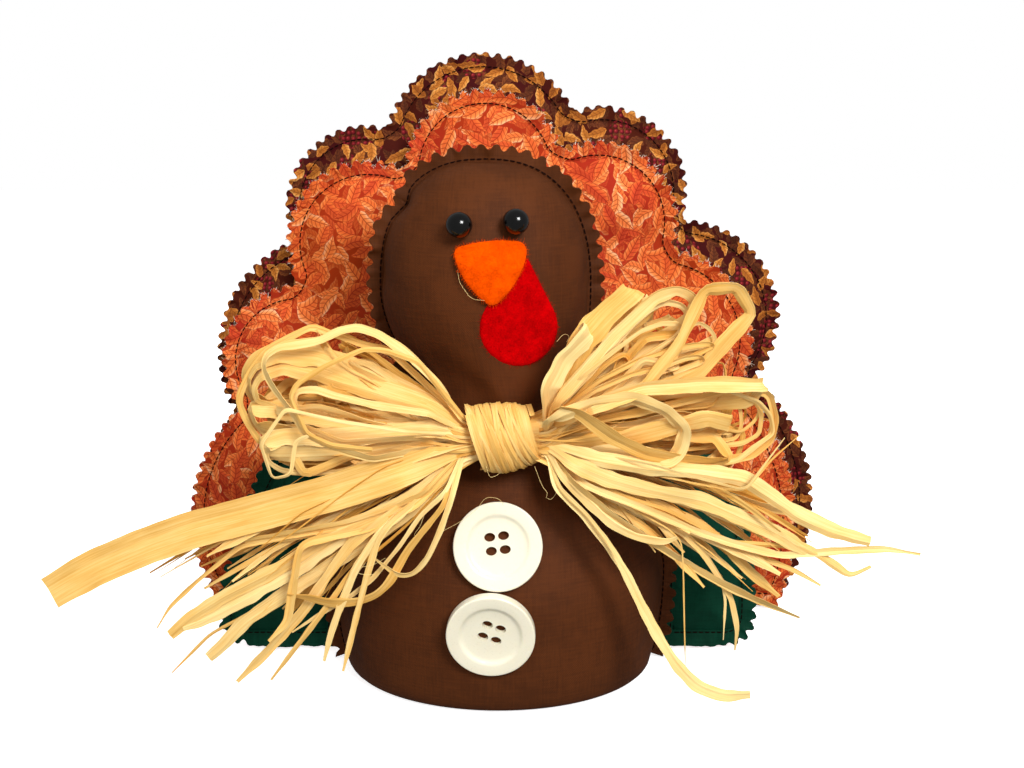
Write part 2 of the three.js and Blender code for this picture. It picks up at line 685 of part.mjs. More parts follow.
const flapTop = WATTLE_FOLD_Z - FOLD_GAP;
piece('wattle', 'felt_red', felt([
  { x: foldRight, z: flapTop, bulge: 0, steps: 5 },
  { x: foldLeft, z: flapTop, bulge: flapTop - WATTLE_Z + WATTLE_RADIUS, steps: 18 },
], { x: WATTLE_X, z: WATTLE_Z + 1 }, 3, wattleY));

const tabTop = BEAK_TOP_Z - WATTLE_TUCK;
piece('wattle_tab', 'felt_red', felt([
  { x: foldLeft, z: WATTLE_FOLD_Z, bulge: 0, steps: 5 },
  { x: foldRight, z: WATTLE_FOLD_Z, bulge: 0.8 },
  { x: BEAK_RIGHT + 1.5, z: tabTop, bulge: 0 },
  { x: BEAK_RIGHT - 5, z: tabTop, bulge: 0 },
  { x: foldLeft + 1, z: WATTLE_FOLD_Z + 3, bulge: 0, steps: 1 },
], { x: WATTLE_X, z: WATTLE_FOLD_Z + 5 }, 3, wattleY));

// The line that the wattle folds on, for the joint: it touches the front of the felt at its furthest forward
// point, so the flap swings down and away from the glued felt
const foldFront = (x) => wattleY(x, WATTLE_FOLD_Z) - FELT;
const foldChord = (x) => THREE.MathUtils.mapLinear(
  x, foldLeft, foldRight, foldFront(foldLeft), foldFront(foldRight));
const foldShares = Array.from({ length: FOLD_SAMPLES + 1 }, (_, i) => i / FOLD_SAMPLES);
const foldBulge = Math.max(...foldShares.map((share) => {
  const x = THREE.MathUtils.lerp(foldLeft, foldRight, share);
  return foldChord(x) - foldFront(x);
}));
const foldPoint = (x) => [x, foldChord(x) - foldBulge, WATTLE_FOLD_Z - FOLD_GAP / 2];
figure.userData.wattleFold = { from: foldPoint(foldRight), to: foldPoint(foldLeft) };

// Eyes and buttons sit on the front of the body

function seatOnFront(mesh, x, z, standOff) {
  const normal = bodyFrontNormal(x, z);
  mesh.position.set(x, bodyFrontY(x, z), z).addScaledVector(normal, standOff);
  mesh.quaternion.setFromUnitVectors(new THREE.Vector3(0, -1, 0), normal);
  return mesh;
}

for (const [name, side] of [['left_eye', -1], ['right_eye', 1]]) {
  const bead = new THREE.SphereGeometry(EYE_DIAMETER / 2, 14, 9);
  seatOnFront(piece(name, 'bead', bead), EYE_MIDDLE + (side * EYE_SPACING) / 2, EYE_Z + (side * EYE_TILT) / 2,
    EYE_DIAMETER / 2 + SEAT_GAP);
}

// A sew-through button with a round rim and a sunk middle, its back in the plane y = 0 and its face to -Y
function button(turn) {
  const edge = BUTTON_DIAMETER / 2;
  const well = BUTTON_WELL / 2;
  const sunk = BUTTON_THICKNESS - BUTTON_WELL_DEPTH;
  const profile = [
    [0, 0], [edge - 2.5, 0], [edge - 0.7, 0.6], [edge, 1.9], [edge - 0.5, 3], [edge - 2, BUTTON_THICKNESS],
    [well + 1, BUTTON_THICKNESS - 0.5], [well, sunk + 0.4], [well - 0.8, sunk], [0, sunk - 0.3],
  ].map(([r, h]) => new THREE.Vector2(r, h));
  let made = solidOf(new THREE.LatheGeometry(profile, 22));
  for (const sx of [-1, 1]) {
    for (const sz of [-1, 1]) {
      const hole = new THREE.CylinderGeometry(BUTTON_HOLE / 2, BUTTON_HOLE / 2, 3 * BUTTON_THICKNESS, 8);
      hole.translate((sx * BUTTON_HOLE_SPACING) / 2, 0, (sz * BUTTON_HOLE_SPACING) / 2);
      made = made.subtract(solidOf(hole));
    }
  }
  const geometry = geometryOf(made);
  geometry.rotateY(radians(turn));
  geometry.rotateX(Math.PI);
  return geometry;
}

for (const { name, x, z, turn } of BUTTON_SPOTS) {
  seatOnFront(piece(name, 'button', button(turn)), x, z, SEAT_GAP);
}

// Raffia bow: loops and tails run through a bound knot on the front of the neck

const KNOT_Z = NECK_Z - KNOT_DROP;

// How far forward the knot's middle has to stand to rest on the front of the neck without cutting it
function knotStandOff() {
  let far = 0;
  for (let degrees = -90; degrees <= 90; degrees += 5) {
    const z = KNOT_Z + (KNOT_HEIGHT / 2) * Math.sin(radians(degrees));
    far = Math.max(far, (KNOT_DEPTH / 2) * Math.cos(radians(degrees)) - bodyFrontY(bodyMiddle(z), z));
  }
  return far;
}

const KNOT_Y = -knotStandOff() - KNOT_GAP;
const BORE_HALF_DEPTH = KNOT_DEPTH / 2 - WRAP_THICKNESS;
const BORE_HALF_HEIGHT = KNOT_HEIGHT / 2 - WRAP_THICKNESS;

// The binding: one strip wound round the knot, with a straight end at each side underneath
function wrapStations() {
  const pitch = (KNOT_LENGTH - WRAP_STRIP) / WRAP_TURNS;
  const ring = (angle, out) => [
    (KNOT_DEPTH / 2 - out) * Math.cos(angle),
    (KNOT_HEIGHT / 2 - out) * Math.sin(angle),
  ];
  const stations = [];
  for (let i = 0; i <= WRAP_STEPS * WRAP_TURNS; i++) {
    const turns = i / WRAP_STEPS;
    const angle = 2 * Math.PI * turns - Math.PI / 2;
    const [y, z] = ring(angle, WRAP_THICKNESS / 2);
    const face = new THREE.Vector3(0, y / KNOT_DEPTH ** 2, z / KNOT_HEIGHT ** 2).normalize();
    stations.push({
      at: new THREE.Vector3(BOW_X - (KNOT_LENGTH - WRAP_STRIP) / 2 + pitch * turns, KNOT_Y + y, KNOT_Z + z),
      side: new THREE.Vector3(WRAP_STRIP / 2, 0, 0),
      face: face.multiplyScalar(WRAP_THICKNESS / 2),
    });
  }
  const straight = (station, way) => ({ ...station, at: station.at.clone().add(new THREE.Vector3(0, way, 0)) });
  const last = stations[stations.length - 1];
  return [straight(stations[0], -WRAP_STRIP), ...stations, straight(last, WRAP_STRIP)];
}

// The least distance between the strip's middle lines on different turns, less its width
function leastGap(stations) {
  let least = Infinity;
  stations.forEach((a, i) => {
    for (let j = i + WRAP_STEPS / 2; j < stations.length; j++) {
      least = Math.min(least, a.at.distanceTo(stations[j].at) - WRAP_STRIP);
    }
  });
  return least;
}

const wrap = wrapStations();
console.log(`bow_binding: least gap between turns ${leastGap(wrap).toFixed(2)} mm`);
piece('bow_binding', 'raffia', stripTube(wrap));

// The part of the bundle inside the binding: one end of the bore, its upper half (1) or lower half (-1)
function bundleEnd(side, half) {
  const columns = 10;
  const middle = SEAT_GAP / 2;
  const outline = [];
  for (let i = 0; i <= columns; i++) {
    const angle = (Math.PI * i) / columns;
    const y = (BORE_HALF_DEPTH - SEAT_GAP) * Math.cos(angle);
    const z = middle + (BORE_HALF_HEIGHT - SEAT_GAP - middle) * Math.sin(angle);
    outline.push(new THREE.Vector2(y, half * z));
  }
  const depth = KNOT_LENGTH / 2 - middle;
  const geometry = new THREE.ExtrudeGeometry(new THREE.Shape(outline), { depth, bevelEnabled: false });
  const [x, y, z] = [0, 1, 2].map((i) => new THREE.Vector3().setComponent(i, 1));
  geometry.applyMatrix4(new THREE.Matrix4().makeBasis(y, z, x));
  return geometry.translate(BOW_X + (side > 0 ? middle : -middle - depth), KNOT_Y, KNOT_Z);
}

// A flat strip of raffia through points, narrow in the knot and full outside it
function raffiaStrip(points, width, tilt, steps) {
  const path = new THREE.CatmullRomCurve3(points, false, 'centripetal');
  const mouth = new THREE.Vector3(BOW_X, KNOT_Y, KNOT_Z);
  const stations = [];
  for (let i = 0; i <= steps; i++) {
    const at = path.getPoint(i / steps);
    const along = path.getTangent(i / steps);
    const level = new THREE.Vector3(0, 1, 0);
    const flat = level.clone().cross(along).normalize();
    const side = flat.multiplyScalar(Math.cos(tilt)).addScaledVector(level, Math.sin(tilt));
    side.addScaledVector(along, -side.dot(along)).normalize();
    const away = at.distanceTo(mouth) - KNOT_LENGTH / 2;
    const full = THREE.MathUtils.lerp(2.4, width, smooth(away / 30));
    stations.push({
      at,
      side: side.clone().multiplyScalar(full / 2),
      face: along.clone().cross(side).normalize().multiplyScalar(RAFFIA / 2),
    });
  }
  return stripTube(stations);
}

// A place in the bow, out from the knot's end at an angle above level, and forward of its middle
function bowPoint(side, angle, reach, rise, forward) {
  const x = BOW_X + side * (KNOT_LENGTH / 2 + reach * Math.cos(radians(angle)));
  return new THREE.Vector3(x, KNOT_Y - forward, KNOT_Z + rise + reach * Math.sin(radians(angle)));
}

// Loops leave the knot, swing round like petals and come back
function bowLoops(name, side, { count, low, high, reach, spread, strip }) {
  const strips = [bundleEnd(side, 1)];
  for (let i = 0; i < count; i++) {
    const share = i / (count - 1);
    const angle = THREE.MathUtils.lerp(low, high, share);
    const rise = THREE.MathUtils.lerp(2.2, BORE_HALF_HEIGHT - 3.4, share);
    const forward = i % 2 ? 2.6 : -2.6;
    const long = reach * (1 - 0.1 * (i % 3));
    const petal = [bowPoint(side, 0, -8, rise, forward), bowPoint(side, 0, 1, rise, forward)];
    for (let k = 1; k < 10; k++) {
      const turn = k / 10;
      const out = long * Math.sin(Math.PI * turn) ** 0.8;
      const swing = angle + spread * Math.cos(Math.PI * turn);
      petal.push(bowPoint(side, swing, out, rise, forward + 4 * Math.cos(Math.PI * turn)));
    }
    petal.push(bowPoint(side, 0, 1, rise, forward), bowPoint(side, 0, -8, rise, forward));
    strips.push(raffiaStrip(petal, strip, radians(i % 2 ? 35 : 55), 15));
  }
  piece(name, 'raffia', unionOf(strips));
}

// Tails run straight out and down from the knot, with a little sag
function bowTails(name, side, tails) {
  const strips = [bundleEnd(side, -1)];
  tails.forEach(({ fall, length, strip, sag }, i) => {
    const share = i / (tails.length - 1);
    const rise = -THREE.MathUtils.lerp(2.4, BORE_HALF_HEIGHT - 3.4, share);
    const forward = i % 2 ? 2.2 : -2.2;
    const run = [bowPoint(side, 0, -8, rise, forward), bowPoint(side, 0, 1, rise, forward)];
    for (let k = 1; k <= 4; k++) {
      const out = (length * k) / 4;
      const arch = sag * Math.sin((Math.PI * k) / 4);
      run.push(bowPoint(side, -fall, out, rise + arch, forward * (1 + k / 2)));
    }
    strips.push(raffiaStrip(run, strip, radians(20), 9));
  });
  piece(name, 'raffia', unionOf(strips));
}

bowLoops('bow_loops_left', -1, LEFT_LOOPS);
bowLoops('bow_loops_right', 1, RIGHT_LOOPS);
bowTails('bow_tails_left', -1, LEFT_TAILS);
bowTails('bow_tails_right', 1, RIGHT_TAILS);

export default figure;
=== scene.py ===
"""Stuffed turkey figure for a table top: sewn cloth, felt, beads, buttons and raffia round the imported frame.

Everything is in metres in the frame of the part, +Z up, and the figure faces -Y.
"""

import math

import bpy
import numpy as np
from bpy.props import FloatProperty, FloatVectorProperty, IntProperty, PointerProperty
from mathutils import Matrix, Vector
from mathutils.geometry import delaunay_2d_cdt


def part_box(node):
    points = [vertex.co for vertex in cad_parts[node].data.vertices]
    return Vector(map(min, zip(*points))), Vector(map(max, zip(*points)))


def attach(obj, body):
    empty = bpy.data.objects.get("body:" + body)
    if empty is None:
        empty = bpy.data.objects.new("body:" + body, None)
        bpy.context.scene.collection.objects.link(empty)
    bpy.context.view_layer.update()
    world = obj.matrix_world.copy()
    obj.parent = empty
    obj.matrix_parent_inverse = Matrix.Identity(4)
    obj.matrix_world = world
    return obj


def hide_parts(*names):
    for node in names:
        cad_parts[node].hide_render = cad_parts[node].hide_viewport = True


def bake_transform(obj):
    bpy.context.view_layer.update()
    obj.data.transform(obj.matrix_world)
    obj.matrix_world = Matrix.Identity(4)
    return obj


bl_info = {
    "name": "Stuffed turkey figure",
    "version": (1, 0, 0),
    "blender": (4, 5, 0),
    "location": "View3D > Sidebar > Figure",
    "description": "Dresses the packed figure in sewn cloth, felt, beads, buttons and raffia",
    "category": "Object",
}

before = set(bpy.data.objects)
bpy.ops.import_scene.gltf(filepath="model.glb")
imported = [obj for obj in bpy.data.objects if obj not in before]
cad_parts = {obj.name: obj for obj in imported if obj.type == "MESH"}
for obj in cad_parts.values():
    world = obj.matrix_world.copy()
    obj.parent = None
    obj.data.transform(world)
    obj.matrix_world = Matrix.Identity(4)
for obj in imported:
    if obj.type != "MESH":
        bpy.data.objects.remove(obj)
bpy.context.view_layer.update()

MM = 0.001
FIGURE = "figure"

# Outlines of the tail pads, from the lower right hem over the top to the lower left hem, in millimetres:
# across, up, and the height of the scallop that starts there
FRONT_TAIL = [
    (123, 1.5, 15), (103.5, 101.5, 17), (73, 160, 20.5), (26, 201.5, 28),
    (-39.5, 193.5, 24), (-85.5, 145, 18), (-112.5, 92, 17), (-124, 1.5, 0),
]
BACK_TAIL = [
    (128, 1.5, 19), (113, 101, 24), (78.5, 171, 20), (31.5, 217, 27),
    (-48.5, 210, 19), (-89.5, 162, 18), (-118, 86, 15), (-122, 1.5, 0),
]

# Single strips of the bow that stand out, in millimetres: width or widths at both ends,
# depth at both ends, then places across and up from the knot on
LEFT_LOOP_ROUTES = [
    (3.2, -50, -59, [(-21, 124), (-31, 134.5), (-41, 141.5), (-48, 144), (-54, 143), (-61, 139.5),
        (-75, 137.5), (-79.5, 134.5), (-80.5, 131), (-78.5, 126), (-75.5, 121.5), (-71.5, 116.5),
        (-66.5, 108), (-57, 103), (-43, 99)]),
    (2.4, -48, -46, [(-37.5, 135), (-46, 137), (-57.5, 141), (-64.5, 143.5), (-72.5, 139.5), (-81, 135),
        (-86, 128.5), (-90.5, 119.5), (-91, 116), (-88, 108), (-83.5, 101), (-76.5, 99.5), (-68, 97.5),
        (-55.5, 94)]),
    (1.8, -57, -60, [(-27, 133), (-38, 137), (-45.5, 137.5), (-59, 131.5), (-68.5, 125.5), (-71, 121),
        (-65.5, 108), (-57, 104), (-42.5, 102.5)]),
    (8.5, -49, -44, [(-24, 118), (-46, 127), (-62.5, 133.5), (-76.5, 134.5), (-85, 131), (-88.5, 125.5),
        (-87.5, 119.5), (-81.5, 115), (-61, 115.5), (-38.5, 112)]),
    (7.5, -51, -46, [(-24, 116), (-46, 123), (-62, 128), (-74.5, 130.5), (-83, 127.5), (-86, 122.5),
        (-85, 117), (-77.5, 112.5), (-55, 109.5), (-32.5, 110)]),
    (7.5, -50, -48, [(-24, 110), (-49, 110.5), (-66, 113), (-79, 115), (-87, 115), (-85.5, 108.5),
        (-77.5, 106), (-55, 105), (-27, 106)]),
    (6.5, -53, -51, [(-24, 108.5), (-43, 106.5), (-60, 105), (-75, 105.5), (-82.5, 102.5), (-80, 99),
        (-69, 99), (-49, 100), (-26.5, 104.5)]),
    (2.6, -56, -55, [(-23.5, 114.5), (-42.5, 117.5), (-57, 121), (-62.5, 123), (-69, 122.5), (-70.5, 119),
        (-68.5, 110.5), (-54, 104), (-32, 105.5)]),
    (2.1, -52, -50, [(-38, 104), (-57.5, 101.5), (-77, 105), (-81.5, 99), (-80.5, 95.5), (-76, 92.5),
        (-68, 91.5), (-55.5, 92), (-38, 98.5)]),
    (1.3, -60, -59, [(-31.5, 109), (-53.5, 112.5), (-72.5, 117), (-81.5, 104.5), (-78, 92), (-71.5, 93.5),
        (-69.5, 105.5), (-63.5, 108)]),
]
RIGHT_LOOP_ROUTES = [
    (4.2, -56, -47, [(20.5, 118.5), (40, 141.5), (54, 154.5), (61.5, 157), (66, 155), (68.5, 152),
        (66, 146), (52, 136)]),
    (2.2, -52, -46, [(32, 128), (46.5, 145), (54.5, 151.5), (58.5, 152.5), (64, 151), (66.5, 147),
        (63, 143), (47.5, 135)]),
    ((3, 6.5), -59, -50, [(37.5, 118), (51, 125), (62, 139), (70.5, 157.5), (81.5, 158), (87, 149),
        (78.5, 139), (70, 128), (55.5, 121.5)]),
    (3, -54, -49, [(49.5, 114.5), (70, 119.5), (85.5, 123), (94.5, 120.5), (97, 112), (96, 104), (89.5, 98),
        (76.5, 95), (54, 99)]),
    (5.5, -62, -49, [(22, 118), (28, 115.5), (40, 106.5), (51.5, 100.5), (62.5, 98), (74, 96), (82, 97),
        (76, 105), (50, 107)]),
    (5.5, -61, -54, [(17.5, 113), (32.5, 119), (47, 120.5), (58, 116), (65, 109), (63.5, 101.5), (60, 97),
        (48, 100.5)]),
    (1.6, -56, -50, [(29, 127.5), (39, 135.5), (49, 143), (56, 145.5), (61.5, 145.5), (64, 144), (61, 140),
        (47, 130)]),
    (1.3, -54, -49, [(39.5, 128.5), (52.5, 135.5), (64.5, 143), (69, 146), (73, 143.5), (75.5, 140),
        (74.5, 137), (65, 135.5), (49.5, 127.5)]),
    (1.8, -57, -50, [(35, 126.5), (49, 133.5), (58.5, 136.5), (66, 138), (74, 138.5), (75, 137.5),
        (65, 132.5), (47.5, 125)]),
    (2, -57, -50, [(33.5, 123), (46.5, 128.5), (57.5, 131), (64.5, 133.5), (70.5, 134), (71.5, 132),
        (60.5, 127.5)]),
    (1.6, -53, -48, [(53, 116), (71, 120), (82, 121), (88.5, 119), (92.5, 113.5), (92, 105.5), (86.5, 102),
        (66, 99.5)]),
    (3.5, -52, -47, [(47, 118), (62, 120.5), (72, 120), (74.5, 115.5), (77.5, 111), (75.5, 107),
        (66, 104.5)]),
    (1.3, -51, -47, [(59.5, 116.5), (74.5, 120), (82, 121.5), (85, 115), (86, 108.5), (84.5, 103.5),
        (72.5, 101.5)]),
    (1.8, -55, -50, [(58.5, 122.5), (76.5, 123.5), (90.5, 118), (95, 113), (96.5, 106.5), (91.5, 102.5),
        (84, 96), (66, 94.5)]),
    (1.2, -50, -47, [(71.5, 110), (79.5, 107.5), (85.5, 106), (90.5, 110), (92.5, 114.5), (90, 117),
        (81, 117)]),
]
# Strips folded over at the end of a right loop, in millimetres: width, places out to the fold, places back
RIGHT_FOLDS = [
    (8.5, [(29, -54, 139.5), (37.5, -53, 149), (46, -53, 156.5)], [(42.5, -48, 146), (32, -47, 136)]),
    (7.5, [(18, -57, 123.5), (23, -56, 133.5), (31.5, -56, 142)], [(28.5, -50, 133.5), (22.5, -48, 122.5)]),
    (5.2, [(31.5, -60, 117.5), (49.5, -59, 124), (71, -59, 125.5), (91, -58, 125)],
        [(87, -52, 118), (61.5, -49, 115)]),
    (4.5, [(35, -50, 121.5), (50.5, -50, 129), (66.5, -49, 134.5), (75.5, -49, 138.5)],
        [(72, -45, 132.5), (56, -44, 125)]),
]
LEFT_TAIL_ROUTES = [
    (13, -56, -59, [(-34, 94), (-58.5, 86), (-82.5, 79.5), (-107, 73), (-124, 67), (-141.5, 59.5),
        (-151.5, 54), (-159, 49.5)]),
    (5, -57, -55, [(-24.5, 86), (-31.5, 81.5), (-51, 74.5), (-71.5, 70.5), (-90.5, 67.5)]),
    (5, -56, -53, [(-30, 84), (-59, 70.5), (-64, 67), (-77, 58), (-97.5, 47), (-110, 39), (-119, 31)]),
    (6.5, -55, -53, [(-30, 83), (-57, 69), (-75.5, 55.5), (-91.5, 46.5), (-108, 37.5), (-114.5, 35)]),
    (5, -54, -51, [(-30, 79), (-59.5, 58.5), (-76, 47.5), (-91.5, 36.5), (-99.5, 27.5), (-106, 21.5)]),
    (1.2, -53, -50, [(-30, 80), (-52, 65), (-71, 51.5), (-85, 42), (-104.5, 31), (-120, 15)]),
    (1.5, -56, -54, [(-28, 84), (-44, 77), (-60, 72), (-76.5, 69), (-91, 66), (-107, 53),
        (-117.5, 43), (-123, 34)]),
    ((1.4, 3.6), -58, -60, [(-28, 82), (-45, 73.5), (-66, 69), (-69.5, 67), (-71.5, 56), (-73.5, 45),
        (-74.5, 39), (-78, 36), (-82, 31.5)]),
    (3.6, -59, -53, [(-41, 76), (-51, 68.5), (-60, 56), (-69, 42.5), (-82.5, 26.5), (-95.5, 13)]),
    (2, -60, -56, [(-36.5, 77.5), (-48, 63), (-60, 45.5), (-69.5, 32.5), (-82.5, 15)]),
    (2.4, -61, -58, [(-41, 73.5), (-49.5, 60.5), (-56, 44.5), (-59.5, 34.5), (-62.5, 23)]),
    (2.2, -62, -60, [(-38, 76), (-42, 69.5), (-46, 56.5), (-49.5, 43.5), (-55.5, 20)]),
    (2.3, -60, -61, [(-16, 85), (-20, 73.5), (-24.5, 63.5), (-29.5, 57.5), (-35, 57),
        (-38.5, 60), (-44, 64.5)]),
    ((1.6, 4), -61, -59, [(-18.5, 83), (-31.5, 66.5), (-38, 54.5), (-43, 49.5), (-50, 47),
        (-59.5, 46.5), (-66.5, 48.5), (-75.5, 49.5)]),
    (1.6, -59, -56, [(-18, 87), (-27, 78.5), (-34.5, 67), (-44.5, 54.5), (-53, 47.5), (-64.5, 40.5),
        (-74.5, 33.5)]),
]
RIGHT_TAIL_ROUTES = [
    ((1.6, 5), -56, -60, [(20, 88), (30, 78), (38, 68.5), (45, 57.5), (51.5, 44),
        (57.5, 32.5), (64, 22.5), (71.5, 14.5), (81, 11), (91.5, 12)]),
    (1.4, -57, -60, [(21.5, 88), (31.5, 78.5), (39.5, 68), (43.5, 60.5)]),
    (3, -56, -57, [(22, 92.5), (31.5, 82.5), (40, 74.5), (48.5, 70), (59.5, 68),
        (64, 70.5)]),
    (3.2, -58, -48, [(26, 90.5), (38, 79.5), (49.5, 71), (64, 61), (79, 51.5), (93, 44), (110.5, 36)]),
    (2.3, -55, -45, [(35.5, 86), (52, 77.5), (66.5, 69.5), (73.5, 62), (79.5, 52.5), (84.5, 44),
        (87.5, 31.5), (87, 21.5)]),
    (1, -52, -46, [(30, 84), (55, 74), (73, 61.5), (80.5, 52), (82.5, 43.5), (82.5, 35), (82.5, 26)]),
    (5.6, -58, -53, [(26, 97), (39.5, 91), (53.5, 87), (72, 83), (89, 75), (100.5, 69.5), (111, 62.5)]),
    (5.6, -57, -52, [(35, 98.5), (53.5, 95.5), (71.5, 93.5), (86.5, 91), (96, 84.5), (105.5, 77.5),
        (119, 71), (133.5, 66.5)]),
    (2.6, -57, -51, [(30.5, 89), (53.5, 79.5), (70.5, 71.5), (84.5, 66.5), (101, 62), (119.5, 63.5),
        (138.5, 64), (152, 61.5)]),
    (3, -55, -51, [(44.5, 89.5), (72.5, 80), (91, 72), (110, 65), (122, 57), (126, 53.5), (134.5, 57.5)]),
    (2, -54, -50, [(30, 88), (54, 79.5), (73, 70.5), (92, 61.5), (106.5, 55.5), (117, 49)]),
    (3.8, -54, -48, [(40, 87.5), (59.5, 79.5), (73, 72), (81, 65), (90.5, 54.5), (102.5, 44)]),
    (0.8, -60, -59, [(53, 97.5), (71, 92), (86, 88), (92.5, 97.5), (99.5, 107.5)]),
    (0.7, -58, -57, [(71.5, 89.5), (86, 87), (95, 98.5), (105.5, 108)]),
    (2, -56, -52, [(26, 94.5), (44.5, 84), (59.5, 79), (82, 67), (101, 65.5), (110.5, 62.5)]),
    (0.5, -56, -53, [(60, 73), (65, 68), (66, 56), (67, 36), (68, 18)]),
]
# Thin loose fibres that lie on the body or the bow, with no knot at their start, in millimetres
LOOSE_FIBRES = [
    [(-19.5, -53, 71), (-13, -54, 75), (-7.5, -54.5, 79.5), (-4.5, -55, 83.5), (-1.5, -55, 84),
        (1, -55, 83), (2, -55, 81)],
    [(13, -52, 94.5), (15.5, -52.5, 88), (17.5, -53, 85), (17, -53, 83.5), (19, -53.5, 83),
        (21, -53.5, 86), (22, -54, 89.5)],
    [(-4, -55, 95.5), (-3.5, -55, 93.5), (-2.5, -55, 91.5), (-0.5, -55, 92), (1, -54.5, 93)],
    [(-14.1, -37.6, 162), (-13.4, -38, 158), (-11.9, -38.6, 155.5), (-9.1, -39.2, 152.2),
        (-4.6, -40, 151.5)],
    [(21, -38, 136.5), (23.1, -37, 138.7), (24.6, -36.4, 138.8), (25.4, -36, 137.7), (24.5, -36.2, 136)],
    [(-25, -59, 80.5), (-27, -59, 75), (-29, -59, 72), (-28.5, -59, 71)],
    [(-43, -63, 58.5), (-47, -63, 58.5), (-49, -63, 59.5), (-48, -63, 61), (-43.5, -63, 62),
        (-39, -63, 64.5)],
    [(-70.5, -62, 56.5), (-67.5, -62, 58), (-63.5, -62, 59.5), (-60.5, -62, 59)],
]


# Settings that a user would change

def length(name, millimetres, description):
    """A size in metres, given in millimetres."""
    return FloatProperty(name=name, description=description, default=millimetres * MM, min=0, unit="LENGTH")


def number(name, value, description):
    """A share or a strength."""
    return FloatProperty(name=name, description=description, default=value, min=0)


def whole(name, value, description, least=0):
    """A count."""
    return IntProperty(name=name, description=description, default=value, min=least)


def angle(name, degrees, description):
    """An angle in radians, given in degrees."""
    return FloatProperty(name=name, description=description, default=math.radians(degrees), subtype="ANGLE")


def linear(code):
    """The linear colour of a web colour such as 4a2812."""
    parts = [int(code[i:i + 2], 16) / 255 for i in (0, 2, 4)]
    return [c / 12.92 if c <= 0.04045 else ((c + 0.055) / 1.055) ** 2.4 for c in parts]


def colour(name, code, description):
    """A colour, given as a web colour."""
    return FloatVectorProperty(name=name, description=description, default=linear(code), min=0, max=1,
                               size=3, subtype="COLOR")


class BodySizes(bpy.types.PropertyGroup):
    """The gourd body."""
    base_width: length("Base width", 116, "Width of the flat base")
    base_front: length("Base front", 49, "Seam to the front edge of the base")
    base_back: length("Base back", 36, "Seam to the back edge of the base")
    belly_z: length("Belly height", 38, "Height of the widest part")
    belly_width: length("Belly width", 129, "Width of the widest part")
    belly_front: length("Belly front", 54, "Seam to the front of the belly")
    belly_back: length("Belly back", 43, "Seam to the back of the belly")
    neck_z: length("Neck height", 106, "Height of the narrowest part")
    neck_width: length("Neck width", 62, "Width of the neck")
    neck_front: length("Neck front", 34, "Seam to the front of the neck")
    neck_back: length("Neck back", 26, "Seam to the back of the neck")
    head_z: length("Head height", 150, "Height of the widest part of the head")
    head_width: length("Head width", 78, "Width of the head")
    head_front: length("Head front", 37, "Seam to the front of the head")
    head_back: length("Head back", 28, "Seam to the back of the head")
    head_lean: length("Head lean", 5, "How far the head sits to its right hand")
    crown_z: length("Crown height", 198, "Height of the seam on top of the head")
    notch_z: length("Notch height", 182, "Height of the pucker in the head's seam")
    notch: length("Notch", 3.4, "Depth of the pucker in the head's seam")


class SewingSizes(bpy.types.PropertyGroup):
    """Seams, cut edges and stitches."""
    allowance: length("Seam allowance", 6.5, "Stitch line to the tips of the pinked edge")
    pitch: length("Tooth pitch", 5.2, "Tooth to tooth along a pinked edge")
    depth: length("Tooth depth", 2.2, "Tip to root of a tooth")
    cloth: length("Cloth", 0.5, "Thickness of one ply at a cut edge")
    ruffle: length("Ruffle", 1.5, "How far a cut edge waves out of its plane")
    stitch: length("Stitch", 2.0, "Length of one stitch")
    stitch_gap: length("Stitch gap", 0.5, "Cloth between two stitches")
    thread: length("Thread", 0.5, "Diameter of the sewing thread")


class PadSizes(bpy.types.PropertyGroup):
    """The tail pads and the wings."""
    grid: length("Cloth mesh", 3.8, "Spacing of the cloth mesh before it is smoothed")
    edge_round: length("Edge round", 12, "How far in from the seam the pad reaches most of its puff")
    tail_front: length("Tail front", 8.6, "Puff of a tail's front")
    tail_back: length("Tail back", 6.2, "Puff of a tail's back")
    wing_puff: length("Wing puff", 5.4, "Puff of a wing's front and back")
    left_wing: length("Left wing width", 52, "Width of the left wing")
    right_wing: length("Right wing width", 41, "Width of the right wing")
    wing_height: length("Wing height", 104, "Height of a wing")
    wing_top: length("Wing top width", 22, "Width of a wing at its top")
    wing_corner: length("Wing corner", 13, "Rounding of the lower outer corner")
    pressure: number("Pressure", 0.9, "How hard the filling pushes")
    growth: number("Ease", 0.03, "Share of spare cloth that wrinkles")


class FaceSizes(bpy.types.PropertyGroup):
    """Felt pieces and bead eyes."""
    eye: length("Eye", 9.4, "Diameter of a bead eye")
    felt: length("Felt", 1.2, "Thickness of the felt")
    beak_top: length("Beak top", 171.5, "Height of the beak's top edge")
    beak_tip: length("Beak tip", 150, "Height of the beak's tip")
    wattle_x: length("Wattle across", 7.5, "Middle of the wattle's round end")
    wattle_z: length("Wattle height", 141, "Height of the wattle's round end")
    wattle_radius: length("Wattle radius", 14, "Radius of the wattle's round end")
    fold_z: length("Fold height", 149.4, "Where the glue ends and the wattle is free")
    fibre: length("Felt fibre", 1.0, "Length of a loose fibre at a felt edge")
    fibres: whole("Felt fibres", 900, "Loose fibres on each felt piece")


class ButtonSizes(bpy.types.PropertyGroup):
    """The sew-through buttons."""
    diameter: length("Button diameter", 32, "Across the rim")
    thickness: length("Button thickness", 4.2, "Back to rim")
    well: length("Well diameter", 21, "Across the sunk middle")
    well_depth: length("Well depth", 0.8, "Rim to the sunk middle")
    hole: length("Hole", 3.3, "Diameter of a thread hole")
    spacing: length("Hole spacing", 5, "Hole to hole")
    hole_rise: length("Hole rise", 1.2, "Middle of the holes above the middle of the button")
    lean: angle("Lean", 7, "How far the buttons hang forward on their thread")


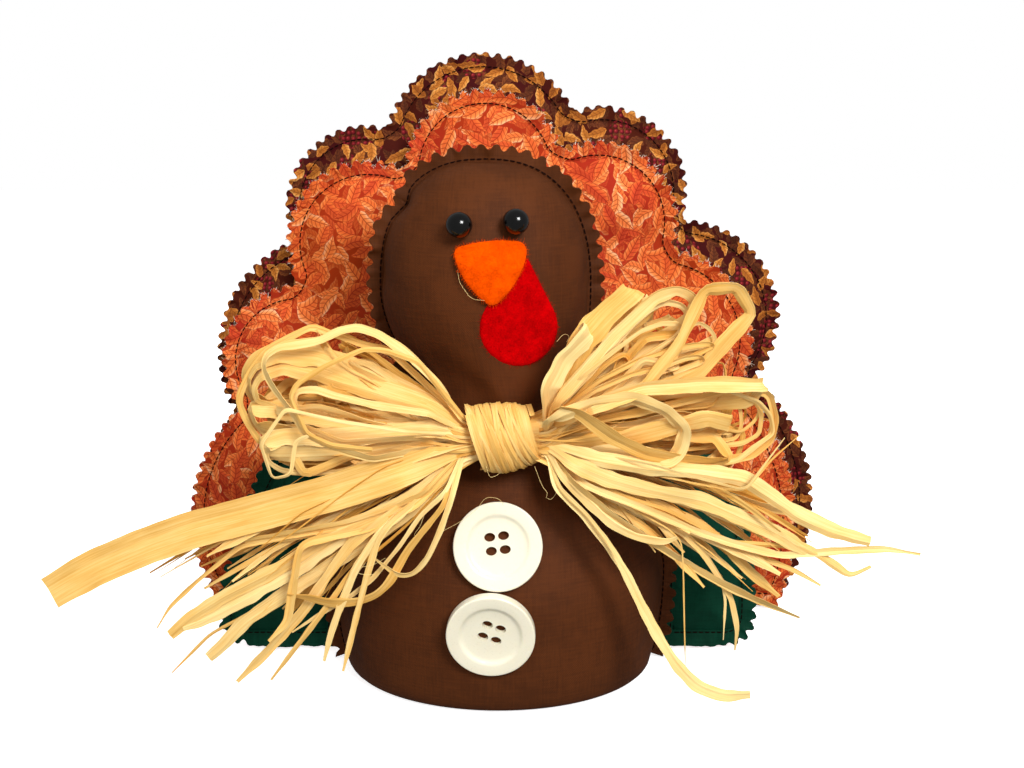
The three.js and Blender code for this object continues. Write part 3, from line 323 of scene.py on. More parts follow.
class BowSizes(bpy.types.PropertyGroup):
    """The raffia bow."""
    middle_x: length("Knot across", 2.6, "Middle of the knot")
    knot_y: length("Knot forward", 44.2, "Knot's middle ahead of the body's seam")
    knot_z: length("Knot level", 103, "Height of the knot's middle above the table")
    knot_length: length("Knot length", 27, "Length of the bound knot")
    knot_height: length("Knot height", 24, "Height of the bound knot")
    knot_depth: length("Knot depth", 19, "Depth of the bound knot")
    thickness: length("Raffia", 0.2, "Thickness of a strip")
    loops: whole("Loops", 46, "Filling loops on each side")
    tails: whole("Tails", 30, "Filling tails on each side")
    wisps: whole("Wisps", 22, "Fine split fibres on each side")
    turns: whole("Turns", 8, "Turns of the binding strip", least=5)


class FinishColours(bpy.types.PropertyGroup):
    """Colours of the cloth, felt and hard pieces."""
    brown: colour("Brown cotton", "50270c", "Body cloth")
    green: colour("Green cotton", "033a28", "Wing cloth")
    rust_ground: colour("Rust ground", "aa2a18", "Ground of the orange leaf print")
    dark_ground: colour("Dark ground", "461608", "Ground of the dark leaf print")
    orange_felt: colour("Orange felt", "f04c00", "Beak")
    red_felt: colour("Red felt", "b60003", "Wattle")
    bead: colour("Bead", "040404", "Eyes")
    button: colour("Button", "f6efd6", "Buttons")
    thread: colour("Thread", "190806", "Sewing thread")
    fray: colour("Frayed thread", "fbe6d2", "Loose threads at cut edges")


class StageSizes(bpy.types.PropertyGroup):
    """Camera, floor and lights."""
    camera: FloatVectorProperty(name="Camera", description="Where the camera stands", size=3,
                                default=(0.00505, -0.49417, 0.21808), subtype="TRANSLATION", unit="LENGTH")
    tilt: angle("Tilt", 12, "How far the camera looks down")
    lens: number("Lens", 45.84, "Focal length in millimetres on a sensor 36 mm wide")
    floor: length("Floor", 6000, "Side of the floor")
    sky: number("Sky", 0.25, "Strength of the light from all round")


# Small helpers

def settings_of(context, *names):
    """The scene's groups of settings, by name."""
    return [getattr(context.scene, f"figure_{name}") for name in names]


def ease(t):
    """Runs from 0 to 1 with a soft start and end."""
    return (1 - np.cos(np.pi * np.clip(t, 0, 1))) / 2


def unit(v):
    """Vectors along the last axis made one long."""
    return v / np.maximum(np.linalg.norm(v, axis=-1, keepdims=True), 1e-12)


def wander(seed, longest, reach):
    """A smooth random wave: a function of distance that stays within about reach."""
    rng = np.random.default_rng(seed)
    waves = [(longest / k, rng.uniform(0, 2 * math.pi), k ** -0.5) for k in (1, 1.7, 2.9, 4.3)]
    scale = reach / sum(w[2] for w in waves)
    return lambda s: scale * sum(a * np.sin(2 * math.pi * s / span + phase) for span, phase, a in waves)


def circle(count):
    """Places evenly round a circle of radius one."""
    turn = np.linspace(0, 2 * math.pi, count, endpoint=False)
    return np.stack([np.cos(turn), np.sin(turn)], 1)


def eased_ring(ring, rounds):
    """A closed ring with its corners rounded off a little more in each round."""
    for _ in range(rounds):
        ring = (np.roll(ring, 1, 0) + 2 * ring + np.roll(ring, -1, 0)) / 4
    return ring


def run_length(points, closed=False):
    """Distance along a run of points, from 0 at its first one."""
    ends = np.roll(points, -1, 0) if closed else points[1:]
    steps = np.linalg.norm(ends - (points if closed else points[:-1]), axis=1)
    return np.r_[0, np.cumsum(steps)]


def resample(points, count):
    """Points at even steps along a run, with both of its ends."""
    along = run_length(points)
    at = np.linspace(0, along[-1], count)
    return np.stack([np.interp(at, along, points[:, k]) for k in range(points.shape[1])], 1)


def spline(points, count):
    """A smooth curve through points, at even steps."""
    p = np.asarray(points, float)
    p = np.vstack([2 * p[0] - p[1], p, 2 * p[-1] - p[-2]])
    t = np.linspace(0, 1, 12, endpoint=False)[:, None]
    parts = []
    for a, b, c, d in zip(p, p[1:], p[2:], p[3:]):
        parts.append(0.5 * (2 * b + (c - a) * t + (2 * a - 5 * b + 4 * c - d) * t ** 2
                            + (3 * b - a - 3 * c + d) * t ** 3))
    return resample(np.vstack([*parts, p[-2:-1]]), count)


class Heap:
    """Closed little solids that together become one piece."""

    def __init__(self):
        self.points, self.faces, self.uv, self.tone = [], [], [], []
        self.count = 0

    def add(self, points, faces, uv=None, tone=0.5):
        self.points.append(points)
        self.faces += [[i + self.count for i in face] for face in faces]
        self.uv.append(np.zeros((len(points), 2)) if uv is None else uv)
        self.tone.append(np.full(len(points), tone))
        self.count += len(points)

    def piece(self, name, finish):
        made = new_piece(name, np.vstack(self.points), self.faces, finish, np.vstack(self.uv))
        tone = made.data.attributes.new("tone", "FLOAT", "POINT")
        tone.data.foreach_set("value", np.concatenate(self.tone).astype(np.float32))
        return made


def activate(obj):
    """Makes obj the only selected object."""
    bpy.ops.object.select_all(action="DESELECT")
    obj.select_set(True)
    bpy.context.view_layer.objects.active = obj


def pick_faces(obj, test):
    """Selects the faces of the active object that pass a test, and leaves it in edit mode."""
    bpy.ops.object.mode_set(mode="EDIT")
    bpy.ops.mesh.select_all(action="DESELECT")
    bpy.ops.object.mode_set(mode="OBJECT")
    for face in obj.data.polygons:
        face.select = test(face)
    bpy.ops.object.mode_set(mode="EDIT")


def new_piece(name, points, faces, finish, uv=None):
    """A mesh object from points and faces, with a cloth map given for each point or each corner."""
    mesh = bpy.data.meshes.new(name)
    mesh.from_pydata(np.asarray(points).tolist(), [], [list(map(int, f)) for f in faces])
    mesh.materials.append(finish)
    if uv is not None:
        corner = np.zeros(len(mesh.loops), np.int32)
        mesh.loops.foreach_get("vertex_index", corner)
        flat = uv if len(uv) == len(mesh.loops) and len(uv) != len(points) else uv[corner]
        mesh.uv_layers.new(name="cloth").data.foreach_set("uv", flat.astype(np.float32).ravel())
    obj = bpy.data.objects.new(name, mesh)
    bpy.context.scene.collection.objects.link(obj)
    return obj


def joined(name, parts, smooth=50):
    """Several objects made one piece, smooth where it turns gently and with its faces pointing out."""
    activate(parts[0])
    for part in parts:
        part.select_set(True)
    if len(parts) > 1:
        bpy.ops.object.join()
    made = bpy.context.view_layer.objects.active
    made.name = made.data.name = name
    bpy.ops.object.mode_set(mode="EDIT")
    bpy.ops.mesh.select_all(action="SELECT")
    bpy.ops.mesh.normals_make_consistent(inside=False)
    bpy.ops.object.mode_set(mode="OBJECT")
    bpy.ops.object.shade_smooth_by_angle(angle=math.radians(smooth))
    return made


def edge_ends(obj):
    """The two points of each edge of a mesh object."""
    ends = np.zeros(len(obj.data.edges) * 2, np.int32)
    obj.data.edges.foreach_get("vertices", ends)
    return ends.reshape(-1, 2)


def places(obj):
    """The points of a mesh object as an array."""
    co = np.zeros(len(obj.data.vertices) * 3)
    obj.data.vertices.foreach_get("co", co)
    return co.reshape(-1, 3)


def move_to(obj, points):
    """Puts the points of a mesh object in new places."""
    obj.data.vertices.foreach_set("co", points.astype(np.float32).ravel())
    obj.data.update()


def soften(obj, creased=None):
    """One level of subdivision, applied, with the creased points' edges kept in place."""
    if creased is not None:
        both = np.isin(edge_ends(obj), creased).all(1)
        crease = obj.data.attributes.new("crease_edge", "FLOAT", "EDGE")
        crease.data.foreach_set("value", both.astype(np.float32))
    smooth = obj.modifiers.new("Subdivision", "SUBSURF")
    smooth.levels = smooth.render_levels = 1
    activate(obj)
    bpy.ops.object.modifier_apply(modifier=smooth.name)


def slab(grid, thickness, closed=False):
    """Points and faces of a thin closed solid round a grid of points (along, across)."""
    along = np.roll(grid, -1, 0) - np.roll(grid, 1, 0) if closed else np.gradient(grid, axis=0)
    normal = unit(np.cross(along, np.gradient(grid, axis=1)))
    rows, columns = grid.shape[:2]
    points = np.concatenate([grid + normal * thickness / 2, grid - normal * thickness / 2]).reshape(-1, 3)
    under = rows * columns
    faces = []
    for i in range(rows if closed else rows - 1):
        a, b = i * columns, (i + 1) % rows * columns
        for j in range(columns - 1):
            faces.append((a + j, b + j, b + j + 1, a + j + 1))
            faces.append((a + j + under, a + j + 1 + under, b + j + 1 + under, b + j + under))
        for j in (0, columns - 1):
            faces.append((a + j, b + j, b + j + under, a + j + under))
    if not closed:
        for a in (0, (rows - 1) * columns):
            faces += [(a + j, a + j + 1, a + j + 1 + under, a + j + under) for j in range(columns - 1)]
    return points, faces


def sweep(path, side, section):
    """Points and faces of a closed solid along a path. The section is given for each station."""
    along = unit(np.gradient(path, axis=0))
    side = unit(side - along * (side * along).sum(1, keepdims=True))
    face = np.cross(along, side)
    points = path[:, None] + section[..., :1] * side[:, None] + section[..., 1:] * face[:, None]
    stations, around = section.shape[:2]
    faces = []
    for i in range(stations - 1):
        a, b = i * around, (i + 1) * around
        faces += [(a + j, a + (j + 1) % around, b + (j + 1) % around, b + j) for j in range(around)]
    faces += [tuple(range(around)), tuple(range((stations - 1) * around, stations * around))]
    return points.reshape(-1, 3), faces


# A direction that no fibre runs along, from which its round section is set out
SLANT = (0.31, 0.9, 0.31)
# Stations along a short loose fibre
FIBRE_STEPS = np.linspace(0, 1, 4)[:, None]


def fibre(heap, path, radius, taper, sides, tone=0.5):
    """Adds a thin round thread along a path, narrower at its end."""
    size = radius * np.linspace(1, taper, len(path))
    points, faces = sweep(path, np.tile(SLANT, (len(path), 1)), size[:, None, None] * circle(sides))
    heap.add(points, faces, tone=tone)


# Cloth simulation

# Frames that the cloth runs for
FRAMES = 20
# Share of its own place that a point gives up in each round of smoothing
SPREAD = 0.6


def swell_cloth(obj, sewn, pressure, growth):
    """Lets the cloth swell with its filling while the sewn points stay, and returns its new points."""
    obj.vertex_groups.new(name="sewn").add([int(i) for i in sewn], 1, "REPLACE")
    cloth = obj.modifiers.new("Cloth", "CLOTH")
    settings = cloth.settings
    settings.quality = 6
    settings.mass = 0.1
    settings.tension_stiffness = settings.compression_stiffness = 15
    settings.shear_stiffness = 5
    settings.bending_stiffness = 0.2
    settings.use_pressure = True
    settings.uniform_pressure_force = pressure
    settings.effector_weights.gravity = 0
    settings.vertex_group_mass = "sewn"
    settings.shrink_min = -growth
    cloth.collision_settings.use_collision = False
    cloth.point_cache.frame_end = FRAMES
    for moment in range(1, FRAMES + 1):
        bpy.context.scene.frame_set(moment)
    activate(obj)
    bpy.ops.object.modifier_apply(modifier=cloth.name)
    bpy.context.scene.frame_set(1)
    obj.vertex_groups.clear()
    return places(obj)


def smoothed(obj, values, held, rounds):
    """Values on the mesh's points, spread out to their neighbours while the held points keep theirs."""
    a, b = edge_ends(obj).T
    count = np.bincount(np.r_[a, b], minlength=len(values))
    values = values.copy()
    kept = values[held]
    for _ in range(rounds):
        near = [np.bincount(np.r_[a, b], np.r_[values[b, k], values[a, k]], len(values)) for k in range(3)]
        values = (1 - SPREAD) * values + SPREAD * np.stack(near, 1) / count[:, None]
        values[held] = kept
    return values


# The body's shape

# How square the crown is, how far the pucker reaches up and down, and the step that slopes are taken over
CROWN_POWER = 2.4
NOTCH_REACH = 4.2 * MM
SLOPE_STEP = 0.5 * MM


def body_size(z, levels, s):
    """One size of the body at heights z, from its values at the base, belly, neck and head."""
    base, belly, neck, head = levels
    below = (s.belly_z - np.clip(z, 0, s.belly_z)) / s.belly_z
    above = np.clip((z - s.head_z) / (s.crown_z - s.head_z), 0, 1)
    low = base + (belly - base) * np.sqrt(1 - below ** 2)
    middle = belly + (neck - belly) * ease((z - s.belly_z) / (s.neck_z - s.belly_z))
    high = neck + (head - neck) * ease((z - s.neck_z) / (s.head_z - s.neck_z))
    crown = head * (1 - above ** CROWN_POWER) ** (1 / CROWN_POWER)
    return np.select([z <= s.belly_z, z <= s.neck_z, z <= s.head_z], [low, middle, high], crown)


def body_half(z, s):
    """Half the body's width at heights z."""
    return body_size(z, (s.base_width / 2, s.belly_width / 2, s.neck_width / 2, s.head_width / 2), s)


def body_front(z, s):
    """How far the front stands out from the seam at heights z."""
    return body_size(z, (s.base_front, s.belly_front, s.neck_front, s.head_front), s)


def body_back(z, s):
    """How far the back stands out from the seam at heights z."""
    return body_size(z, (s.base_back, s.belly_back, s.neck_back, s.head_back), s)


def body_middle(z, s):
    """The middle of the body across, at heights z."""
    return -s.head_lean * ease((z - s.neck_z) / (s.head_z - s.neck_z))


def seam_notch(z, s):
    """How far the left seam is drawn in, at heights z."""
    return s.notch * np.exp(-((z - s.notch_z) / NOTCH_REACH) ** 2)


def skin_front(x, z, s, curve=1.0):
    """Where the front of the body is at places across and up. A lower curve makes it flatter across."""
    share = np.clip(curve * (x - body_middle(z, s)) / np.maximum(body_half(z, s), 1e-6), -1, 1)
    return -body_front(z, s) * np.sqrt(1 - share ** 2)


def skin_normal(x, z, s):
    """The outward direction of the front of the body."""
    step = SLOPE_STEP
    slope_x = (skin_front(x + step, z, s) - skin_front(x - step, z, s)) / (2 * step)
    slope_z = (skin_front(x, z + step, s) - skin_front(x, z - step, s)) / (2 * step)
    return Vector((slope_x, -1, slope_z)).normalized()


# Sewing: pinked edges, stitches and frayed threads

# Share of a tooth's depth that is cut away, from one tip to the next
TOOTH = (0, 0.16, 0.78, 1, 0.78, 0.16)
# Steps along one scallop before its teeth are set out
ARC_STEPS = 65
# Share of the allowance that a stitch line keeps from the outline where it has room, and rounds of easing
ROOM = 0.96
CORNER_ROUNDS = 6

# Columns of a ply from just inside the seam to the cut edge
PLY_COLUMNS = np.linspace(-0.06, 1, 4)
# Seam to the middle of a ply, how far a ply's edge stands off at least, and the length and reach of its wave
PLY_OFFSET = 0.32 * MM
FLARE = 0.45 * MM
FLARE_WAVE = (30 * MM, 1.6 * MM)
# How the standing off grows from the seam to the edge
EDGE_CURVE = 1.3

# One stitch: places along it, lift in threads, share of the thread's radius, and its seat off the seam
STITCH_STEPS = np.array([-0.5, -0.34, 0, 0.34, 0.5])
STITCH_LIFT = np.array([-0.2, 0.25, 0.45, 0.25, -0.2])
STITCH_SIZE = np.array([0.35, 1, 1, 1, 0.35])
STITCH_SEAT = 0.75 * MM
STITCH_SIDES = 5


def scallops(corners, sewing):
    """Places round a scalloped outline, with the share of a full tooth cut at each."""
    points, cut = [], []
    for (x, z, bulge), (next_x, next_z, _) in zip(corners, corners[1:] + corners[:1]):
        a, b = np.array([x, z]) * MM, np.array([next_x, next_z]) * MM
        chord = b - a
        span = np.linalg.norm(chord)
        t = np.linspace(0, 1, ARC_STEPS)[:, None]
        line = a + t * chord
        if bulge:
            half = 2 * math.atan(2 * bulge * MM / span)
            radius = span / 2 / math.sin(half)
            out = np.array([chord[1], -chord[0]]) / span
            angle = -half + 2 * half * t
            line = (a + b) / 2 + out * (bulge * MM - radius)
            line = line + radius * (np.sin(angle) * chord / span + np.cos(angle) * out)
        teeth = max(1, round(run_length(line)[-1] / sewing.pitch))
        points.append(resample(line, len(TOOTH) * teeth + 1)[:-1])
        cut.append(np.tile(TOOTH, teeth) * (1 if bulge else 0))
    return np.vstack(points), np.concatenate(cut)


def outward(ring):
    """The outward side at each place of a closed ring that runs counter-clockwise."""
    along = unit(np.roll(ring, -1, 0) - np.roll(ring, 1, 0))
    return np.stack([along[:, 1], -along[:, 0]], 1)


def sewn_ring(outline, out, allowance):
    """The stitch line inside an outline, drawn straight across corners that are too tight for it."""
    seam = outline - out * allowance
    room = np.array([np.linalg.norm(outline - place, axis=1).min() for place in seam])
    good = np.flatnonzero(room > ROOM * allowance)
    index = np.arange(len(seam))
    seam = np.stack([np.interp(index, good, seam[good, k], period=len(seam)) for k in (0, 1)], 1)
    return eased_ring(seam, CORNER_ROUNDS)


def upright(flat, y):
    """Places across and up, stood up at a depth."""
    return np.stack([flat[..., 0], np.broadcast_to(y, flat.shape[:-1]), flat[..., 1]], -1)


def pinked_band(seam, edge, y, sewing, seed, finish, closed=True):
    """Two plies of cloth from the seam out to the cut edge, waving a little."""
    heap = Heap()
    along = run_length(seam, closed)[:len(seam)]
    share = PLY_COLUMNS
    for ply in (-1, 1):
        # Step of the seed, length of the wave in millimetres and share of the ruffle
        waves = ((ply, 46, 1), (5, 17, 0.6), (7, 8, 0.5))
        wave = sum(wander(seed + step, span * MM, part * sewing.ruffle)(along) for step, span, part in waves)
        flare = ply * (FLARE + 0.5 * np.abs(wander(seed + 3 * ply, *FLARE_WAVE)(along)))
        flat = seam[:, None] + share[:, None] * (edge - seam)[:, None]
        depth = y + ply * PLY_OFFSET + np.outer(wave + flare, np.clip(share, 0, 1) ** EDGE_CURVE)
        grid = upright(flat, depth)
        points, faces = slab(grid, sewing.cloth, closed)
        heap.add(points, faces, np.tile(flat.reshape(-1, 2), (2, 1)))
    return heap.piece("cut_edge", finish)


def stitches(seam, y, sewing, finish, closed=True):
    """A row of stitches on the front and on the back of a seam."""
    heap = Heap()
    line = np.vstack([seam, seam[:1]]) if closed else seam
    along = run_length(line)
    pitch = sewing.stitch + sewing.stitch_gap
    section = (STITCH_SIZE * sewing.thread / 2)[:, None, None] * circle(STITCH_SIDES)
    side = np.tile([0.0, 1.0, 0.0], (len(STITCH_STEPS), 1))
    for ply in (-1, 1):
        for middle in np.arange(pitch, along[-1] - pitch / 2, pitch):
            at = middle + STITCH_STEPS * sewing.stitch
            flat = np.stack([np.interp(at, along, line[:, k]) for k in (0, 1)], 1)
            path = upright(flat, y + ply * (STITCH_SEAT + STITCH_LIFT * sewing.thread))
            heap.add(*sweep(path, side, section))
    return heap.piece("stitches", finish)


# How far inside the edge a loose thread starts, and its least and greatest radius in millimetres
FRAY_ROOT = 0.5 * MM
FRAY_RADIUS = (0.07, 0.16)


def frays(edge, out, y, finish, seed, count, longest):
    """Loose threads at a cut edge, but for the part of it that lies on the table."""
    heap = Heap()
    rng = np.random.default_rng(seed)
    t = FIBRE_STEPS
    for i in rng.integers(0, len(edge), count):
        if edge[i, 1] < 2 * longest:
            continue
        size = longest * rng.uniform(0.3, 1)
        way = np.array([*out[i], rng.normal(0, 0.5)])
        way[:2] += rng.normal(0, 0.75, 2)
        bend = rng.normal(0, 0.35, 3)
        start = np.array([*(edge[i] - out[i] * FRAY_ROOT), 0])
        line = start + size * (t * unit(way) + t ** 2 * bend)
        path = np.stack([line[:, 0], y + rng.normal(0, 0.5) * MM + line[:, 2], line[:, 1]], 1)
        fibre(heap, path, rng.uniform(*FRAY_RADIUS) * MM, taper=0.4, sides=3, tone=rng.random())
    return heap.piece("frays", finish)


# Stuffed pads

# Height of a row of the cloth mesh, and room left inside its ring, as shares of its spacing
ROW_SHARE = 0.866
RING_ROOM = 0.7
# How much one tooth's depth differs from the next
TOOTH_CHANGE = 0.22
# Rounds of smoothing that part a pad's broad shape from its wrinkles
BROAD_ROUNDS = 40
# The back's cloth map lies beside the front's
BACK_MAP = (0.5, 0)
# How far outside the seam the stitches lie, and the loose threads at a frayed edge
STITCHES_OUT = 0.5 * MM
FRAYS_PER_PLACE = 4
FRAY_LENGTH = 1.3 * MM


def inside(points, ring):
    """Which points lie inside a closed ring."""
    x, y = points.T
    found = np.zeros(len(points), bool)
    for (ax, ay), (bx, by) in zip(ring, np.roll(ring, -1, 0)):
        if ay != by:
            found ^= ((ay > y) != (by > y)) & (x < (bx - ax) * (y - ay) / (by - ay) + ax)
    return found


def distance_to(points, ring):
    """How far points lie from a closed ring."""
    nearest = np.full(len(points), np.inf)
    for a, b in zip(ring, np.roll(ring, -1, 0)):
        share = np.clip((points - a) @ (b - a) / ((b - a) @ (b - a)), 0, 1)
        nearest = np.minimum(nearest, np.linalg.norm(points - a - share[:, None] * (b - a), axis=1))
    return nearest


def cut_cloth(ring, grid):
    """A flat mesh inside a ring: its points, the ring's first, and triangles that run counter-clockwise."""
    low, high = ring.min(0), ring.max(0)
    rows = np.arange(low[1], high[1], grid * ROW_SHARE)
    columns = np.arange(low[0], high[0], grid)
    field = np.array([(x + (grid / 2 if j % 2 else 0), z) for j, z in enumerate(rows) for x in columns])
    field = field[inside(field, ring)]
    field = field[distance_to(field, ring) > RING_ROOM * grid]
    points = np.vstack([ring, field])
    border = [(i, (i + 1) % len(ring)) for i in range(len(ring))]
    made, _, faces, origin, _, _ = delaunay_2d_cdt([Vector(p) for p in points], border, [], 1, 1e-6)
    source = np.array([o[0] for o in origin])
    flat = np.zeros((len(points), 2))
    flat[source] = np.array([tuple(v) for v in made])
    turned = []
    for face in faces:
        a, b, c = (source[i] for i in face)
        u, v = flat[b] - flat[a], flat[c] - flat[a]
        turned.append((a, b, c) if u[0] * v[1] - u[1] * v[0] > 0 else (a, c, b))
    return flat, turned


def stuffed_pad(name, corners, y, puff_front, puff_back, finish, thread, sewing, pads, seed, fray=None):
    """A sewn pad with a pinked edge: the swollen cloth, the two plies outside its seam and the stitches."""
    outline, cut = scallops(corners, sewing)
    out = outward(outline)
    rng = np.random.default_rng(seed)
    uneven = 1 + TOOTH_CHANGE * np.repeat(rng.normal(size=len(outline) // len(TOOTH)), len(TOOTH))
    edge = outline - out * (cut * sewing.depth * uneven)[:, None]
    seam = sewn_ring(outline, out, sewing.allowance)
    ring = seam[::len(TOOTH) // 2]
    flat, faces = cut_cloth(ring, pads.grid)
    sewn = np.arange(len(ring))
    rise = 1 - np.exp(-distance_to(flat, ring) / pads.edge_round)
    rise[sewn] = 0
    free = np.arange(len(ring), len(flat))
    behind = np.arange(len(flat))
    behind[free] = len(flat) + np.arange(len(free))
    points = np.vstack([upright(flat, y - puff_front * rise), upright(flat, y + puff_back * rise)[free]])
    all_faces = list(faces) + [(behind[a], behind[c], behind[b]) for a, b, c in faces]
    cloth_map = np.vstack([flat, flat[free] + BACK_MAP])
    skin = new_piece(name, points, all_faces, finish, cloth_map)
    swollen = swell_cloth(skin, sewn, pads.pressure, pads.growth)
    broad = smoothed(skin, swollen, sewn, BROAD_ROUNDS)
    detail = swollen - broad
    depth = broad[:, 1] - y
    reach = np.where(depth < 0, puff_front, puff_back)
    broad[:, 1] = y + reach * np.tanh(depth / reach)
    move_to(skin, broad + detail)
    soften(skin, sewn)
    parts = [skin, pinked_band(seam, edge, y, sewing, seed, finish)]
    parts.append(stitches(seam + out * STITCHES_OUT, y, sewing, thread))
    if fray:
        parts.append(frays(edge, out, y, fray, seed, FRAYS_PER_PLACE * len(edge), FRAY_LENGTH))
    made = joined(name, parts)
    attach(made, FIGURE)
    return made


# Finishes

class Finish:
    """A material being made: adds nodes and joins their sockets."""

    def __init__(self, name, roughness, **shader):
        self.material = bpy.data.materials.new(name)
        self.material.use_nodes = True
        self.nodes = self.material.node_tree.nodes
        self.shader = self.nodes["Principled BSDF"]
        self.set("Roughness", roughness)
        for key, value in shader.items():
            self.set(key.replace("_", " ").title().replace("Ior", "IOR"), value)

    def join(self, value, socket):
        if isinstance(value, bpy.types.NodeSocket):
            self.material.node_tree.links.new(value, socket)
        else:
            socket.default_value = value

    def set(self, socket, value):
        self.join(value, self.shader.inputs[socket])

    def add(self, kind, inputs, output=0, **settings):
        node = self.nodes.new("ShaderNode" + kind)
        for key, value in settings.items():
            setattr(node, key, value)
        for key, value in inputs.items():
            self.join(value, node.inputs[key])
        return node.outputs[output]

    def math(self, operation, a, b=0.0, c=0.0):
        return self.add("Math", {0: a, 1: b, 2: c}, operation=operation)

    def times(self, a, b, plus=None):
        """A product, with a sum after it where plus is given."""
        return self.math("MULTIPLY", a, b) if plus is None else self.math("MULTIPLY_ADD", a, b, plus)

    def minus(self, a, b):
        return self.math("SUBTRACT", a, b)

    def larger(self, a, b):
        return self.math("MAXIMUM", a, b)

    def sine(self, a):
        return self.math("SINE", a)

    def vector(self, operation, a, b=(0, 0, 0), c=(0, 0, 0)):
        return self.add("VectorMath", {0: a, 1: b, 2: c}, operation=operation)

    def mix(self, share, a, b):
        return self.add("Mix", {0: share, 6: a, 7: b}, 2, data_type="RGBA")

    def step(self, value, low, high):
        """0 below low and 1 above high, soft between them."""
        return self.add("MapRange", {"Value": value, "From Min": low, "From Max": high},
                        interpolation_type="SMOOTHSTEP")

    def parts(self, vector):
        return self.add("SeparateXYZ", {0: vector}).node.outputs

    def ramp(self, value, stops):
        ramped = self.add("ValToRGB", {0: value})
        elements = ramped.node.color_ramp.elements
        while len(elements) < len(stops):
            elements.new(0.5)
        for element, (place, code) in zip(elements, stops):
            element.position = place
            element.color = (*linear(code), 1)
        return ramped

    def noise(self, vector, scale, detail=2.0, roughness=0.5):
        inputs = {"Vector": vector, "Scale": scale, "Detail": detail, "Roughness": roughness}
        return self.add("TexNoise", inputs)

    def cells(self, vector, randomness):
        """The sockets of a flat field of cells, one cell to each whole step of the vector."""
        inputs = {"Vector": vector, "Scale": 1.0, "Randomness": randomness}
        return self.add("TexVoronoi", inputs, voronoi_dimensions="2D").node.outputs

    def chances(self, cells):
        """Three random numbers for each cell."""
        return self.add("SeparateColor", {0: cells["Color"]}).node.outputs

    def cloth_map(self):
        return self.add("UVMap", {}, uv_map="cloth")

    def place(self):
        return self.add("TexCoord", {}, "Object")

    def stretched(self, uv, along, across, depth=0.0):
        """The cloth map with a scale of its own each way."""
        u, v, _ = self.parts(uv)
        return self.add("CombineXYZ", {0: self.times(u, along), 1: self.times(v, across), 2: depth})

    def colour(self, value):
        self.set("Base Color", value)

    def tint(self, tone, base, dark, light):
        """Colours the finish between a darker and a lighter share of its base, by tone."""
        self.colour(self.mix(tone, solid([c * dark for c in base]), solid([min(1, c * light) for c in base])))

    def bump(self, height, strength, distance):
        inputs = {"Height": height, "Strength": strength, "Distance": distance}
        self.set("Normal", self.add("Bump", inputs))


def solid(code_or_colour):
    """A socket colour from a web colour or a property."""
    rgb = linear(code_or_colour) if isinstance(code_or_colour, str) else list(code_or_colour)
    return (*rgb, 1)


def weave(f, uv, pitch):
    """Height of a plain weave whose threads cross at a pitch, with thick places in them."""
    u, v, _ = f.parts(uv)
    turns = 2 * math.pi / pitch
    over = f.times(f.sine(f.times(u, turns)), f.sine(f.times(v, turns)))
    slub = f.noise(uv, 900, 3)
    return f.times(slub, 0.8, plus=over)


def plain_cotton(name, base, pitch, shade_and_fade):
    """Dyed cotton with a fine weave, slubs and a little fading, with painted shade in the weave's dips."""
    f = Finish(name, 0.7, specular_ior_level=0.15)
    uv = f.cloth_map()
    height = weave(f, uv, pitch)
    fade = f.noise(uv, 38, 4, 0.6)
    threads = [f.noise(f.stretched(uv, *scales), 1.0) for scales in ((90, 1500), (1500, 90))]
    fade = f.times(f.math("ADD", *threads), 0.5, plus=f.minus(fade, 0.5))
    # The colour follows the weave's height as well: painted shade, darker in the dips between threads and
    # lighter on the crossings, besides the slubs' and the fading's own tone.
    f.tint(f.times(height, 0.2, plus=f.step(fade, 0.25, 0.75)), base, 1 - shade_and_fade, 1 + shade_and_fade)
    f.bump(height, 0.35, 0.12 * MM)
    return f.material


def leaf_scatter(f, uv, cell, seed, long, wide, lobes):
    """One layer of leaves, a leaf to a cell: its cover, its veins, its light half and two chances."""
    shift = np.random.default_rng(seed).uniform(3, 9, 2)
    spread = f.vector("MULTIPLY_ADD", uv, (1 / cell,) * 3, (*shift, 0))
    cells = f.cells(spread, 0.65)
    chances = f.chances(cells)
    local = f.vector("SUBTRACT", spread, cells["Position"])
    turn = f.times(chances[0], 2 * math.pi)
    x, y, _ = f.parts(f.add("VectorRotate", {"Vector": local, "Angle": turn}, rotation_type="Z_AXIS"))
    curl = f.times(f.times(x, x), f.minus(chances[1], 0.5))
    y = f.times(curl, 1.4, plus=y)
    # Half the leaf's width along it: round, narrower to its tip and with a wavy margin
    along = f.math("DIVIDE", x, long)
    body = f.larger(f.minus(1.0, f.times(along, along)), 0.0)
    taper = f.times(along, -0.35, plus=1.0)
    wave = f.times(f.sine(f.times(along, lobes)), 0.11, plus=0.95)
    half = f.times(f.times(f.times(f.math("POWER", body, 0.75), taper), wave), wide)
    off = f.math("ABSOLUTE", y)
    margin = f.minus(half, off)
    cover = f.step(margin, 0.0, 0.02)
    rib = f.minus(1.0, f.step(off, 0.008, 0.026))
    slant = f.minus(f.times(off, 24.0), f.times(x, 32.0))
    branch = f.times(f.step(f.sine(slant), 0.45, 1.0), 0.75)
    rim = f.minus(1.0, f.step(margin, 0.012, 0.04))
    vein = f.larger(f.larger(rib, branch), rim)
    light = f.times(f.step(margin, 0.14, 0.0), 0.5, plus=f.times(f.step(y, -0.12, 0.14), 0.5))
    return cover, vein, light, chances[2], chances[1]


def leaf_tone(f, light, chance, shares, stops):
    """A leaf's colour, from its light half and its own chance."""
    return f.ramp(f.times(light, shares[0], plus=f.times(chance, shares[1])), stops)


# Layers of the orange print from the lowest up: cell in millimetres, seed, length and width of a leaf as
# shares of its cell, waves of its margin
RUST_LAYERS = [
    (7.5, 5, 0.66, 0.30, 7), (8.5, 11, 0.64, 0.29, 7), (9.5, 23, 0.62, 0.27, 8), (10.5, 37, 0.60, 0.26, 6),
]
